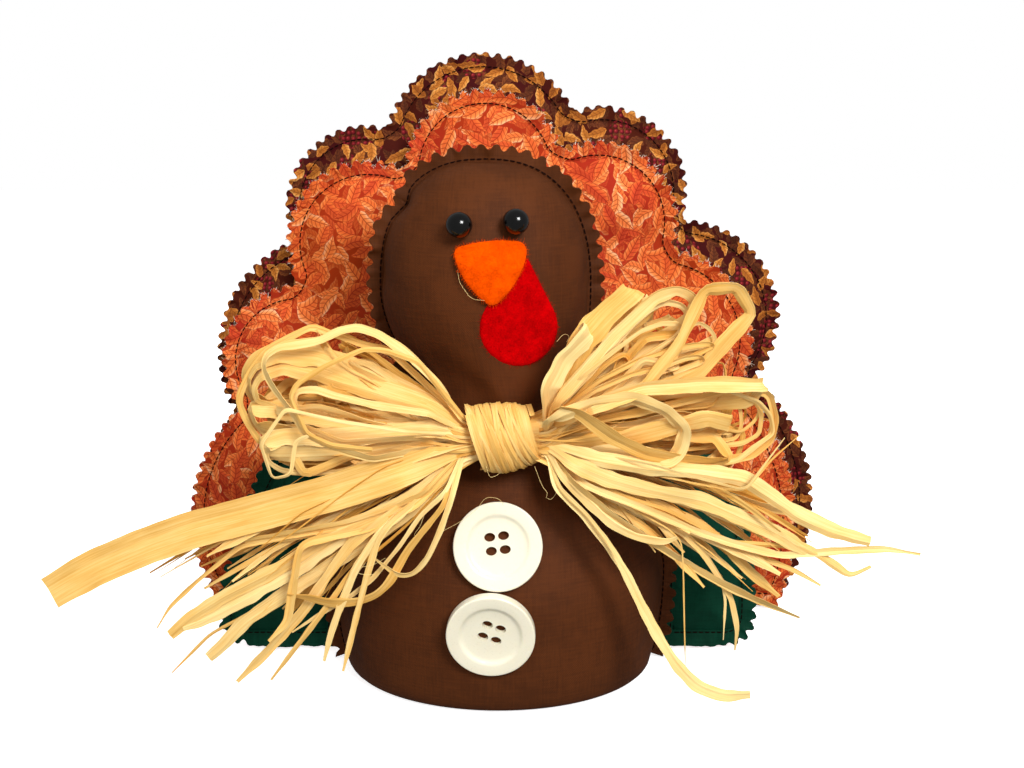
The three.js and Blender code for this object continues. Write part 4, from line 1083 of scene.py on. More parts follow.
# Cell in millimetres and seed, and for gold the chance below which a cell stays bare
BROWN_LAYERS = [(6.5, 51), (8, 57)]
GOLD_LAYERS = [(7, 63, 0.5), (8.5, 71, 0.45)]
RUST_LEAVES = [(0.0, "b2321e"), (0.25, "d24a28"), (0.5, "e66a32"), (0.75, "f68e4c"), (1.0, "fec08c")]
GOLD_LEAVES = [(0.0, "8a4a1c"), (0.4, "b86c28"), (0.75, "da8e40"), (1.0, "ecb46a")]
BROWN_LEAVES = [(0.0, "45200f"), (0.5, "66321a"), (1.0, "8c4c24")]
BERRIES = [(0.0, "b85048"), (0.1, "8e262a"), (0.35, "68141a"), (0.6, "300808")]
STRAW = [(0.2, "b87220"), (0.4, "da9c40"), (0.6, "eebc66"), (0.85, "fbdc96")]


def printed_cotton(name):
    """A cotton finish that is yet to get its print, and its cloth map."""
    f = Finish(name, 0.8, specular_ior_level=0.1)
    uv = f.cloth_map()
    f.bump(weave(f, uv, 0.42 * MM), 0.3, 0.1 * MM)
    return f, uv


def rust_leaf_print(colours):
    """Orange leaves scattered thickly on a rust ground."""
    f, uv = printed_cotton("rust_leaf_print")
    drift = f.step(f.noise(uv, 16), 0.35, 0.65)
    print_now = f.mix(drift, solid(colours.rust_ground), solid("9c3008"))
    for number, (cell, *layer) in enumerate(RUST_LAYERS):
        cover, vein, light, chance, _ = leaf_scatter(f, uv, cell * MM, *layer)
        leaf = leaf_tone(f, light, chance, (0.5, 0.6), RUST_LEAVES)
        leaf = f.mix(f.times(drift, 0.35), leaf, solid("cf6a20"))
        leaf = f.mix(f.times(vein, 0.8), leaf, solid("8c1c0e"))
        if number == 0:
            leaf = f.mix(0.6, leaf, print_now)
        print_now = f.mix(cover, print_now, leaf)
    f.colour(print_now)
    return f.material


def berry_clusters(f, uv, print_now):
    """Round berries in groups, each with a small light spot."""
    group = f.cells(f.vector("MULTIPLY_ADD", uv, (1 / (13 * MM),) * 3, (4.2, 7.7, 0)), 0.8)
    chosen = f.times(f.math("LESS_THAN", group["Distance"], 0.36),
                     f.math("LESS_THAN", f.chances(group)[0], 0.55))
    fine = f.vector("MULTIPLY", uv, (1 / (2.3 * MM),) * 3)
    berry = f.cells(fine, 0.35)
    cover = f.times(f.minus(1.0, f.step(berry["Distance"], 0.40, 0.46)), chosen)
    from_spot = f.vector("ADD", f.vector("SUBTRACT", fine, berry["Position"]), (0.13, -0.15, 0))
    away = f.vector("LENGTH", from_spot).node.outputs["Value"]
    return f.mix(cover, print_now, f.ramp(away, BERRIES))


def dark_leaf_print(colours):
    """Gold leaves and burgundy berries on a dark brown ground."""
    f, uv = printed_cotton("dark_leaf_print")
    drift = f.step(f.noise(uv, 30), 0.4, 0.6)
    print_now = f.mix(drift, solid(colours.dark_ground), solid("400c0c"))
    for cell, seed in BROWN_LAYERS:
        cover, vein, light, chance, _ = leaf_scatter(f, uv, cell * MM, seed, 0.6, 0.26, 11)
        leaf = leaf_tone(f, light, chance, (0.5, 0.5), BROWN_LEAVES)
        leaf = f.mix(f.times(vein, 0.7), leaf, solid("2a1210"))
        print_now = f.mix(f.times(cover, 0.9), print_now, leaf)
    print_now = berry_clusters(f, uv, print_now)
    for cell, seed, least in GOLD_LAYERS:
        cover, vein, light, chance, pick = leaf_scatter(f, uv, cell * MM, seed, 0.55, 0.24, 9)
        shown = f.times(cover, f.math("GREATER_THAN", pick, least))
        leaf = leaf_tone(f, light, chance, (0.6, 0.4), GOLD_LEAVES)
        leaf = f.mix(f.times(vein, 0.7), leaf, solid("6a3414"))
        print_now = f.mix(shown, print_now, leaf)
    f.colour(print_now)
    return f.material


def felt_finish(name, base):
    """Pressed wool felt: matted fibres in clumps."""
    f = Finish(name, 0.95, specular_ior_level=0.02)
    place = f.place()
    fibres = f.noise(place, 1500, 5, 0.7)
    clumps = f.noise(place, 260, 4, 0.6)
    tone = f.times(clumps, 0.6, plus=f.times(fibres, 0.5))
    f.tint(f.step(tone, 0.36, 0.74), base, 0.7, 1.3)
    f.bump(tone, 0.8, 0.5 * MM)
    return f.material


def raffia_finish(name):
    """Dried palm leaf: straw tones that differ from strip to strip, with fine streaks along them."""
    f = Finish(name, 0.5, specular_ior_level=0.22)
    uv = f.cloth_map()
    tone = f.add("Attribute", {}, "Fac", attribute_name="tone")
    streaks = f.noise(f.stretched(uv, 45, 2600, tone), 1.0, 4, 0.65)
    patches = f.noise(f.stretched(uv, 60, 200, tone), 1.0, 3)
    mixed = f.times(patches, 0.3, plus=f.times(tone, 0.5, plus=-0.08))
    f.colour(f.ramp(f.times(streaks, 0.6, plus=mixed), STRAW))
    f.bump(streaks, 0.3, 0.1 * MM)
    return f.material


def thread_finish(name, base):
    """Twisted thread with a slight change of tone along it."""
    f = Finish(name, 0.9, specular_ior_level=0.05)
    f.tint(f.noise(f.place(), 700), base, 0.6, 1.2)
    return f.material


def bead_finish(colours):
    """Black glass with a hint of dust."""
    f = Finish("black_bead", 0.12, specular_ior_level=0.4, coat_weight=0.2, coat_roughness=0.1)
    dust = f.noise(f.place(), 900, 3)
    f.colour(f.mix(dust, solid(colours.bead), solid("080808")))
    f.set("Roughness", f.times(dust, 0.08, plus=0.12))
    return f.material


def button_finish(colours):
    """Moulded cream plastic, slightly clouded, with a faintly uneven gloss."""
    f = Finish("cream_button", 0.3, coat_weight=0.25, coat_roughness=0.12, subsurface_weight=0.15)
    f.set("Subsurface Radius", (2 * MM, 1.6 * MM, 1 * MM))
    place = f.place()
    f.colour(f.mix(f.noise(place, 120, 4, 0.6), solid(colours.button), solid("f4ecd2")))
    f.set("Roughness", f.times(f.noise(place, 1400), 0.15, plus=0.22))
    f.bump(f.noise(place, 700, 3), 0.06, 0.1 * MM)
    return f.material


FINISHES = {}


def finish(name, make, *args):
    """A finish by name, made the first time that it is asked for."""
    if name not in FINISHES:
        FINISHES[name] = make(*args)
    return FINISHES[name]


def dark_thread(colours):
    """The thread of the stitches."""
    return finish("dark_thread", thread_finish, "dark_thread", colours.thread)


def pale_thread(colours):
    """The unprinted threads that show where a print frays."""
    return finish("pale_thread", thread_finish, "pale_thread", colours.fray)


def raffia():
    """The finish of every strip of the bow."""
    return finish("raffia", raffia_finish, "raffia")


# Operators, one for each piece or group of like pieces

class FIGURE_OT_stuffed_body(bpy.types.Operator):
    """Sews and stuffs the gourd body with its base"""
    bl_idname = "figure.stuffed_body"
    bl_label = "Stuffed body"

    columns = 112
    rows = 68
    # Rings of the base, as shares of its size
    base_rings = (0.25, 0.5, 0.75, 0.93)
    # How hard the filling pushes, the share of spare cloth, and how far the cloth may move
    pressure = 1.2
    growth = 0.012
    most = 2.4 * MM
    # Least and greatest share of a full tooth, and how far outside the seam the stitches lie
    teeth_change = (0.6, 1.4)
    stitches_out = 1.1 * MM
    # Loose threads at the cut edge, and the longest of them
    frays = 220
    fray_length = 1.2 * MM

    def profile(self, s):
        """Heights of the rows, at even steps along the body's side."""
        low = np.linspace(0, s.head_z, 400)
        high = s.head_z + (s.crown_z - s.head_z) * np.sin(np.linspace(0, math.pi / 2, 200))[1:]
        z = np.r_[low, high]
        return resample(np.stack([body_half(z, s), z], 1), self.rows + 1)[:, 1]

    def skin(self, s):
        """The body's points and faces, a cloth map for each corner, and the points that stay put."""
        heights = self.profile(s)[:-1]
        cos, sin = circle(self.columns).T
        rings = [(0.0, share) for share in self.base_rings] + [(z, 1.0) for z in heights]
        points = [[0, 0, 0]]
        for z, share in rings:
            deep = np.where(sin > 0, body_front(z, s), body_back(z, s)) * sin
            x = body_middle(z, s) + share * body_half(z, s) * cos
            x = x + seam_notch(z, s) * np.clip(-cos, 0, 1) ** 8
            points += np.stack([x, -share * deep, np.full_like(x, z)], 1).tolist()
        crown = float(s.crown_z)
        points.append([float(body_middle(crown, s)), 0, crown])
        points = np.array(points)
        grid = 1 + np.arange(len(rings) * self.columns).reshape(len(rings), self.columns)
        wrapped = np.c_[grid, grid[:, :1]]
        round_way = np.array([run_length(points[row]) for row in wrapped])
        front = self.columns // 4
        round_way = round_way - round_way[:, front:front + 1]
        middle = points[grid[:, front]]
        up_way = run_length(np.vstack([points[:1], middle]))[1:]
        faces, cloth_map = [], []

        def corner(i, j):
            return [round_way[i, j], up_way[i]]

        for j in range(self.columns):
            faces.append((0, wrapped[0, j], wrapped[0, j + 1]))
            cloth_map += [[0, 0], corner(0, j), corner(0, j + 1)]
        for i in range(len(rings) - 1):
            for j in range(self.columns):
                faces.append((wrapped[i, j], wrapped[i + 1, j], wrapped[i + 1, j + 1], wrapped[i, j + 1]))
                cloth_map += [corner(i, j), corner(i + 1, j), corner(i + 1, j + 1), corner(i, j + 1)]
        top = len(points) - 1
        for j in range(self.columns):
            faces.append((top, wrapped[-1, j + 1], wrapped[-1, j]))
            cloth_map += [[0, up_way[-1]], corner(len(rings) - 1, j + 1), corner(len(rings) - 1, j)]
        base = 1 + (len(self.base_rings) + 1) * self.columns
        sewn = np.r_[np.arange(base), grid[:, 0], grid[:, self.columns // 2], grid[-2:].ravel(), top]
        return points, faces, np.array(cloth_map), np.unique(sewn)

    def seam_line(self, s):
        """The seam from the right foot over the crown to the left foot."""
        z = self.profile(s)
        middle, half = body_middle(z, s), body_half(z, s)
        right = np.stack([middle + half, z], 1)
        left = np.stack([middle - half + seam_notch(z, s), z], 1)[::-1]
        return np.vstack([right[1:], left[2:-1]])

    def execute(self, context):
        s, sewing, colours = settings_of(context, "body", "sewing", "colours")
        brown = finish("brown_cotton", plain_cotton, "brown_cotton", tuple(colours.brown), 0.7 * MM, 0.22)
        points, faces, cloth_map, sewn = self.skin(s)
        skin = new_piece("body", points, faces, brown, cloth_map)
        moved = swell_cloth(skin, sewn, self.pressure, self.growth) - points
        far = np.linalg.norm(moved, axis=1, keepdims=True)
        move_to(skin, points + moved * np.tanh(far / self.most) * self.most / np.maximum(far, 1e-9))
        soften(skin)
        line = self.seam_line(s)
        teeth = round(run_length(line)[-1] / sewing.pitch)
        seam = resample(line, len(TOOTH) * teeth + 1)
        along = unit(np.gradient(seam, axis=0))
        out = np.stack([along[:, 1], -along[:, 0]], 1)
        cut = np.r_[np.tile(TOOTH, teeth), 0] * sewing.depth
        uneven = np.random.default_rng(13).uniform(*self.teeth_change, teeth)
        cut = cut * np.r_[np.repeat(uneven, len(TOOTH)), 1]
        edge = seam + out * (sewing.allowance - cut)[:, None]
        band = pinked_band(seam, edge, 0, sewing, 17, brown, closed=False)
        sewn_line = stitches(seam + out * self.stitches_out, 0, sewing, dark_thread(colours), closed=False)
        loose = frays(edge, out, 0, brown, 29, self.frays, self.fray_length)
        made = joined("stuffed_body", [skin, band, sewn_line, loose])
        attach(made, FIGURE)
        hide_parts("body_front_panel", "body_back_panel", "base_panel", "belly_fill", "head_fill",
                    "weight_pouch")
        return {"FINISHED"}


class FIGURE_OT_tail_pads(bpy.types.Operator):
    """Sews and stuffs the two scalloped tail pads"""
    bl_idname = "figure.tail_pads"
    bl_label = "Tail pads"

    def execute(self, context):
        sewing, pads, colours = settings_of(context, "sewing", "pads", "colours")
        for name, corners, slot, make, fray, seed in (
            ("front_tail", FRONT_TAIL, "rust_leaf_print", rust_leaf_print, pale_thread(colours), 101),
            ("back_tail", BACK_TAIL, "dark_leaf_print", dark_leaf_print, None, 211),
        ):
            seam_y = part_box(f"{name}_back_panel")[0].y
            cloth = finish(slot, make, colours)
            made = stuffed_pad(f"{name}_pad", corners, seam_y, pads.tail_front, pads.tail_back, cloth,
                               dark_thread(colours), sewing, pads, seed, fray)
            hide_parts(f"{name}_front_panel", f"{name}_back_panel", f"{name}_fill")
        return {"FINISHED"}


class FIGURE_OT_wings(bpy.types.Operator):
    """Sews and stuffs the two wings"""
    bl_idname = "figure.wings"
    bl_label = "Wings"

    def corners(self, side, inner, width, pads):
        """The outline of a wing that stands beside the body, in millimetres."""
        floor, side_bulge, corner_share = 1.5, 5, 0.3
        inner, width = inner / MM, width / MM
        top, round_by = pads.wing_top / MM, pads.wing_corner / MM
        shoulder = pads.wing_height / MM - top / 2
        outer = inner + width
        right = [
            (inner, floor, 0), (outer - round_by, floor, corner_share * round_by),
            (outer, floor + round_by, side_bulge), (inner + top, shoulder, top / 2), (inner, shoulder, 0),
        ]
        if side > 0:
            return right
        before = right[-1:] + right[:-1]
        return [(-x, z, bulge) for (x, z, _), (_, _, bulge) in zip(right, before)][::-1]

    def execute(self, context):
        sewing, pads, colours = settings_of(context, "sewing", "pads", "colours")
        green = finish("green_cotton", plain_cotton, "green_cotton", tuple(colours.green), 0.5 * MM, 0.2)
        for name, side, width, seed in (
            ("left_wing", -1, pads.left_wing, 307),
            ("right_wing", 1, pads.right_wing, 401),
        ):
            low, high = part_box(f"{name}_front_panel")
            inner = low.x if side > 0 else -high.x
            seam_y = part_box(f"{name}_back_panel")[0].y
            corners = self.corners(side, inner, width, pads)
            made = stuffed_pad(f"{name}_pad", corners, seam_y, pads.wing_puff, pads.wing_puff, green,
                               dark_thread(colours), sewing, pads, seed)
            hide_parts(f"{name}_front_panel", f"{name}_back_panel", f"{name}_fill")
        return {"FINISHED"}


class FIGURE_OT_felt_face(bpy.types.Operator):
    """Cuts the felt beak and wattle and lays them on the head"""
    bl_idname = "figure.felt_face"
    bl_label = "Felt beak and wattle"

    grid = 1.1 * MM
    ring_step = 0.9 * MM
    # How far in the edge is soft
    soft_edge = 1.2 * MM
    # Shares of the thickness: in front at the very edge, more of it farther in, and drawn in behind the edge
    edge_front = 0.55
    inner_front = 0.45
    edge_back = 0.28
    # How uneven the face is, and the radius of a loose fibre
    lumps = 0.05 * MM
    fibre_radius = 0.045 * MM
    # Room under a felt piece, and how far below its top the beak rises clear of the wattle
    gap = 0.3 * MM
    rise_over = 8 * MM
    # Share of the head's curve across that the wattle takes
    wattle_curve = 0.75
    # How far above the fold a bend of the felt would start, and how far below it would end
    bend_above = 0.8 * MM
    bend_below = 3.2 * MM

    def felt_piece(self, name, ring, under, face, cloth, seed):
        """A felt shape over a surface: a thick sheet with a soft edge and loose fibres."""
        flat, faces = cut_cloth(ring, self.grid)
        rng = np.random.default_rng(seed)
        near = distance_to(flat, ring)
        near[:len(ring)] = 0
        soft = np.sqrt(1 - (1 - np.clip(near / self.soft_edge, 0, 1)) ** 2)
        lump = rng.normal(0, self.lumps, len(flat))
        back = under(flat[:, 0], flat[:, 1])
        front = back - face.felt * (self.edge_front + self.inner_front * soft) + lump
        back = back - face.felt * self.edge_back * (1 - soft)
        points = np.vstack([upright(flat, front), upright(flat, back)])
        below = len(flat)
        rim = len(ring)
        all_faces = list(faces) + [(a + below, c + below, b + below) for a, b, c in faces]
        all_faces += [(i, i + below, (i + 1) % rim + below, (i + 1) % rim) for i in range(rim)]
        sheet = new_piece(name, points, all_faces, cloth, np.vstack([flat, flat]))
        soften(sheet)
        heap = Heap()
        out = outward(ring)
        t = FIBRE_STEPS
        for k in range(face.fibres):
            size = face.fibre * rng.uniform(0.3, 1)
            # Two of three stand out from the edge, the third lies on the face
            if k % 3:
                i = rng.integers(rim)
                start = np.array([ring[i, 0], front[i] + face.felt * rng.uniform(0, 0.5), ring[i, 1]])
                way = np.array([out[i, 0], 0, out[i, 1]]) + rng.normal(0, 0.7, 3)
            else:
                i = rng.integers(len(flat))
                start = np.array([flat[i, 0], front[i], flat[i, 1]])
                way = np.array([0, -0.35, 0]) + rng.normal(0, 0.7, 3) * [1, 0.3, 1]
            path = start + size * (t * unit(way) + t ** 2 * rng.normal(0, 0.4, 3))
            fibre(heap, path, self.fibre_radius, taper=0.5, sides=3)
        return joined(name, [sheet, heap.piece("felt_fibres", cloth)])

    def ring(self, corners):
        """A smooth closed outline through corners with bulges, in millimetres."""
        parts = []
        for (x, z, bulge), (next_x, next_z, _) in zip(corners, corners[1:] + corners[:1]):
            a, b = np.array([x, z]), np.array([next_x, next_z])
            t = np.linspace(0, 1, 24)[:, None]
            out = np.array([(b - a)[1], -(b - a)[0]]) / np.linalg.norm(b - a)
            parts.append((a + t * (b - a) + 4 * bulge * t * (1 - t) * out)[:-1])
        line = np.vstack(parts) * MM
        line = np.vstack([line, line[:1]])
        return eased_ring(resample(line, round(run_length(line)[-1] / self.ring_step))[:-1], 2)

    def execute(self, context):
        s, face, colours = settings_of(context, "body", "face", "colours")
        top, tip, fold = (v / MM for v in (face.beak_top, face.beak_tip, face.fold_z))

        def wattle_under(x, z):
            return skin_front(x, z, s, self.wattle_curve) - self.gap

        def beak_under(x, z):
            over = ease((face.beak_top - z) / self.rise_over)
            on_head = skin_front(x, z, s) - self.gap
            return on_head + (wattle_under(x, z) - face.felt - 2 * self.gap - on_head) * over

        beak_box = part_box("beak")
        left, right = beak_box[0].x / MM, beak_box[1].x / MM
        beak_ring = self.ring([
            (left, top - 4, 2.0), (-3.4, tip, 0.5), (-0.2, tip, 1.7), (right, top - 3.5, 1.2),
            (right - 4, top + 0.4, 1), (left + 3, top - 1.3, 1),
        ])
        orange = finish("orange_felt", felt_finish, "orange_felt", tuple(colours.orange_felt))
        beak = self.felt_piece("felt_beak", beak_ring, beak_under, face, orange, 5)
        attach(beak, FIGURE)
        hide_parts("beak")

        x, z, radius = (v / MM for v in (face.wattle_x, face.wattle_z, face.wattle_radius))
        rise = math.asin((fold - z) / radius)
        turns = np.linspace(math.pi - rise, 2 * math.pi + 0.6 * rise, 24)
        round_end = [(x + radius * math.cos(t), z + radius * math.sin(t), 0) for t in turns]
        tab = [(right - 0.2, top - 5, 0), (right - 6, top - 7, 0), (x - 9, fold + 3, 0)]
        wattle_ring = self.ring(round_end + tab)
        red = finish("red_felt", felt_finish, "red_felt", tuple(colours.red_felt))
        wattle = self.felt_piece("felt_wattle", wattle_ring, wattle_under, face, red, 7)
        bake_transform(wattle)
        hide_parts("wattle", "wattle_tab")
        return {"FINISHED"}


class FIGURE_OT_bead_eyes(bpy.types.Operator):
    """Turns a bead with its sewing hole and seats one for each eye"""
    bl_idname = "figure.bead_eyes"
    bl_label = "Bead eyes"

    # The sunk ends of the sewing hole, as shares of the radius: where they start, their rim and their depth
    hole_start = 0.982
    hole_rim = 0.12
    hole_depth = 0.86
    height_share = 0.97

    def execute(self, context):
        face, colours = settings_of(context, "face", "colours")
        black = finish("black_bead", bead_finish, colours)
        radius = face.eye / 2
        for name in ("left_eye", "right_eye"):
            low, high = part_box(name)
            middle = (low + high) / 2
            bpy.ops.object.select_all(action="DESELECT")
            bpy.ops.mesh.primitive_uv_sphere_add(segments=48, ring_count=32, radius=radius, location=middle)
            bead = context.object
            bead.name = bead.data.name = f"{name}_bead"
            bpy.ops.object.transform_apply(location=True, rotation=False, scale=False)
            pick_faces(bead, lambda part: abs(part.center.z - middle.z) > self.hole_start * radius)
            bpy.ops.mesh.inset(thickness=self.hole_rim * radius)
            bpy.ops.transform.resize(value=(1, 1, self.hole_depth), center_override=middle)
            bpy.ops.mesh.select_all(action="SELECT")
            bpy.ops.transform.resize(value=(1, 1, self.height_share), center_override=middle)
            bpy.ops.object.mode_set(mode="OBJECT")
            bpy.ops.object.shade_smooth_by_angle(angle=math.radians(40))
            bead.data.materials.append(black)
            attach(bead, FIGURE)
            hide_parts(name)
        return {"FINISHED"}


class FIGURE_OT_buttons(bpy.types.Operator):
    """Turns a sew-through button with a sunk middle and four holes, and seats two on the belly"""
    bl_idname = "figure.buttons"
    bl_label = "Buttons"

    # Name, middle across and up in millimetres, turn of the holes in degrees
    spots = (("button_upper", 0, 63.5, 7), ("button_lower", -2.5, 33.5, -20))
    # Width of the slope into the well, rounding of the edges, stretch of the holes, and room under a button
    slope = 0.9 * MM
    rounding = 1.15 * MM
    hole_stretch = (1.2, 0.95, 1)
    seat_gap = 0.3 * MM

    def blank(self, sizes):
        """A button with its face to +Z and its back at the origin."""
        radius = sizes.diameter / 2
        bpy.ops.object.select_all(action="DESELECT")
        bpy.ops.mesh.primitive_cylinder_add(vertices=96, radius=radius, depth=sizes.thickness,
                                            location=(0, 0, sizes.thickness / 2))
        made = bpy.context.object
        bpy.ops.object.transform_apply(location=True, rotation=False, scale=False)
        pick_faces(made, lambda part: part.normal.z > 0.9 and part.center.length < sizes.thickness + 1e-5)
        # Inset and drop of each step, from the rim to the middle
        for inset, drop in (
            (radius - sizes.well / 2 - self.slope, 0.35 * MM), (self.slope, sizes.well_depth),
            (1.2 * MM, 0.25 * MM), (4 * MM, 0.1 * MM),
        ):
            bpy.ops.mesh.inset(thickness=inset)
            bpy.ops.transform.translate(value=(0, 0, -drop))
        bpy.ops.object.mode_set(mode="OBJECT")
        rounded = made.modifiers.new("Bevel", "BEVEL")
        rounded.width = self.rounding
        rounded.segments = 5
        rounded.limit_method = "ANGLE"
        rounded.angle_limit = math.radians(25)
        bpy.ops.object.modifier_apply(modifier=rounded.name)
        for sx, sy in ((-1, -1), (-1, 1), (1, -1), (1, 1)):
            bpy.ops.object.select_all(action="DESELECT")
            spot = (sx * sizes.spacing / 2, sy * sizes.spacing / 2 + sizes.hole_rise, sizes.thickness / 2)
            bpy.ops.mesh.primitive_cylinder_add(vertices=32, radius=sizes.hole / 2,
                                                depth=3 * sizes.thickness, location=spot)
            drill = bpy.context.object
            bpy.ops.transform.resize(value=self.hole_stretch, center_override=spot)
            hole = made.modifiers.new("Hole", "BOOLEAN")
            hole.object = drill
            hole.solver = "EXACT"
            activate(made)
            bpy.ops.object.modifier_apply(modifier=hole.name)
            bpy.data.objects.remove(drill)
        return made

    def execute(self, context):
        s, sizes, colours = settings_of(context, "body", "buttons", "colours")
        cream = finish("cream_button", button_finish, colours)
        pattern = self.blank(sizes)
        for name, x, z, turn in self.spots:
            made = pattern.copy()
            made.data = pattern.data.copy()
            made.name = made.data.name = f"{name}_moulded"
            context.scene.collection.objects.link(made)
            x, z = x * MM, z * MM
            normal = skin_normal(x, z, s)
            seat = Vector((x, float(skin_front(x, z, s)), z)) + normal * self.seat_gap
            aim = normal.to_track_quat("Z", "Y").to_matrix().to_4x4()
            leant = Matrix.Rotation(sizes.lean, 4, "X") @ Matrix.Rotation(math.radians(turn), 4, "Z")
            made.matrix_world = Matrix.Translation(seat) @ aim @ leant
            activate(made)
            bpy.ops.object.transform_apply(location=True, rotation=True, scale=False)
            bpy.ops.object.shade_smooth_by_angle(angle=math.radians(32))
            made.data.materials.clear()
            made.data.materials.append(cream)
            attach(made, FIGURE)
            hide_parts(name)
        bpy.data.objects.remove(pattern)
        return {"FINISHED"}


# Raffia

def kinked(points, count, rounding):
    """A run through points that stays straight between them and turns within a short rounding."""
    p = np.asarray(points, float)
    steps = max(8, round(run_length(p)[-1] / MM))
    line = resample(p, steps + 1)
    window = max(1, round(rounding / MM / 2))
    for _ in range(2):
        padded = np.vstack([np.repeat(line[:1], window, 0), line, np.repeat(line[-1:], window, 0)])
        total = np.cumsum(np.vstack([np.zeros((1, 3)), padded]), 0)
        line = (total[2 * window + 1:] - total[:-2 * window - 1]) / (2 * window + 1)
    return resample(line, count)


def route_places(first_y, last_y, spots):
    """Places across and up, put at depths that run evenly from the first to the last."""
    across, up = np.array(spots, float).T
    return np.stack([across, np.linspace(first_y, last_y, len(across)), up], 1) * MM


FOLD_ROUNDING = 1.5 * MM


def folded(out, back, depth, count):
    """A run out to a fold and back behind itself, and the flat side that a strip keeps along it."""
    tip = np.asarray(out[-1])
    ahead = unit(tip - np.asarray(out[-2]))
    turn = tip + depth / 2 * ahead + [0, depth / 2, 0]
    path = kinked(np.vstack([out, turn, tip + [0, depth, 0], back]), count, FOLD_ROUNDING)
    tangent = unit(np.gradient(path, axis=0))
    station = np.arange(count)
    way = np.where(station <= np.argmin(np.linalg.norm(path - turn, axis=1)), 1, -1)
    level = np.hypot(tangent[:, 0], tangent[:, 2]) > 0.7
    heading = np.unwrap(np.arctan2(way * tangent[:, 2], way * tangent[:, 0])[level])
    heading = np.interp(station, station[level], heading)
    return path, np.stack([np.sin(heading), np.zeros(count), -np.cos(heading)], 1)


def strip_section(rng, width, thickness, fold):
    """The bent section of a flat strip, from its width and the strength of its folds at each station."""
    q = np.linspace(-1, 1, 7)
    first, second = rng.choice(q[1:-1], 2, replace=False)
    way = rng.choice([-1, 1])
    bent = way * (rng.uniform(0.1, 0.42) * np.abs(q - first) - rng.uniform(0, 0.36) * np.abs(q - second)
                  + rng.uniform(0, 0.1) * q ** 2)
    bent = bent - bent.mean()
    across = width[:, None] / 2 * q
    rise = width[:, None] / 2 * fold[:, None] * bent
    upper = np.stack([across, rise + thickness / 2], -1)
    lower = np.stack([across, rise - thickness / 2], -1)[:, ::-1]
    return np.concatenate([upper, lower], 1), np.r_[q, q[::-1]]


def strip_map(along, size, q):
    """The cloth map of a strip: along it, and across it."""
    return np.stack([np.repeat(along, len(q)), (size[:, None] / 2 * q).ravel()], 1)


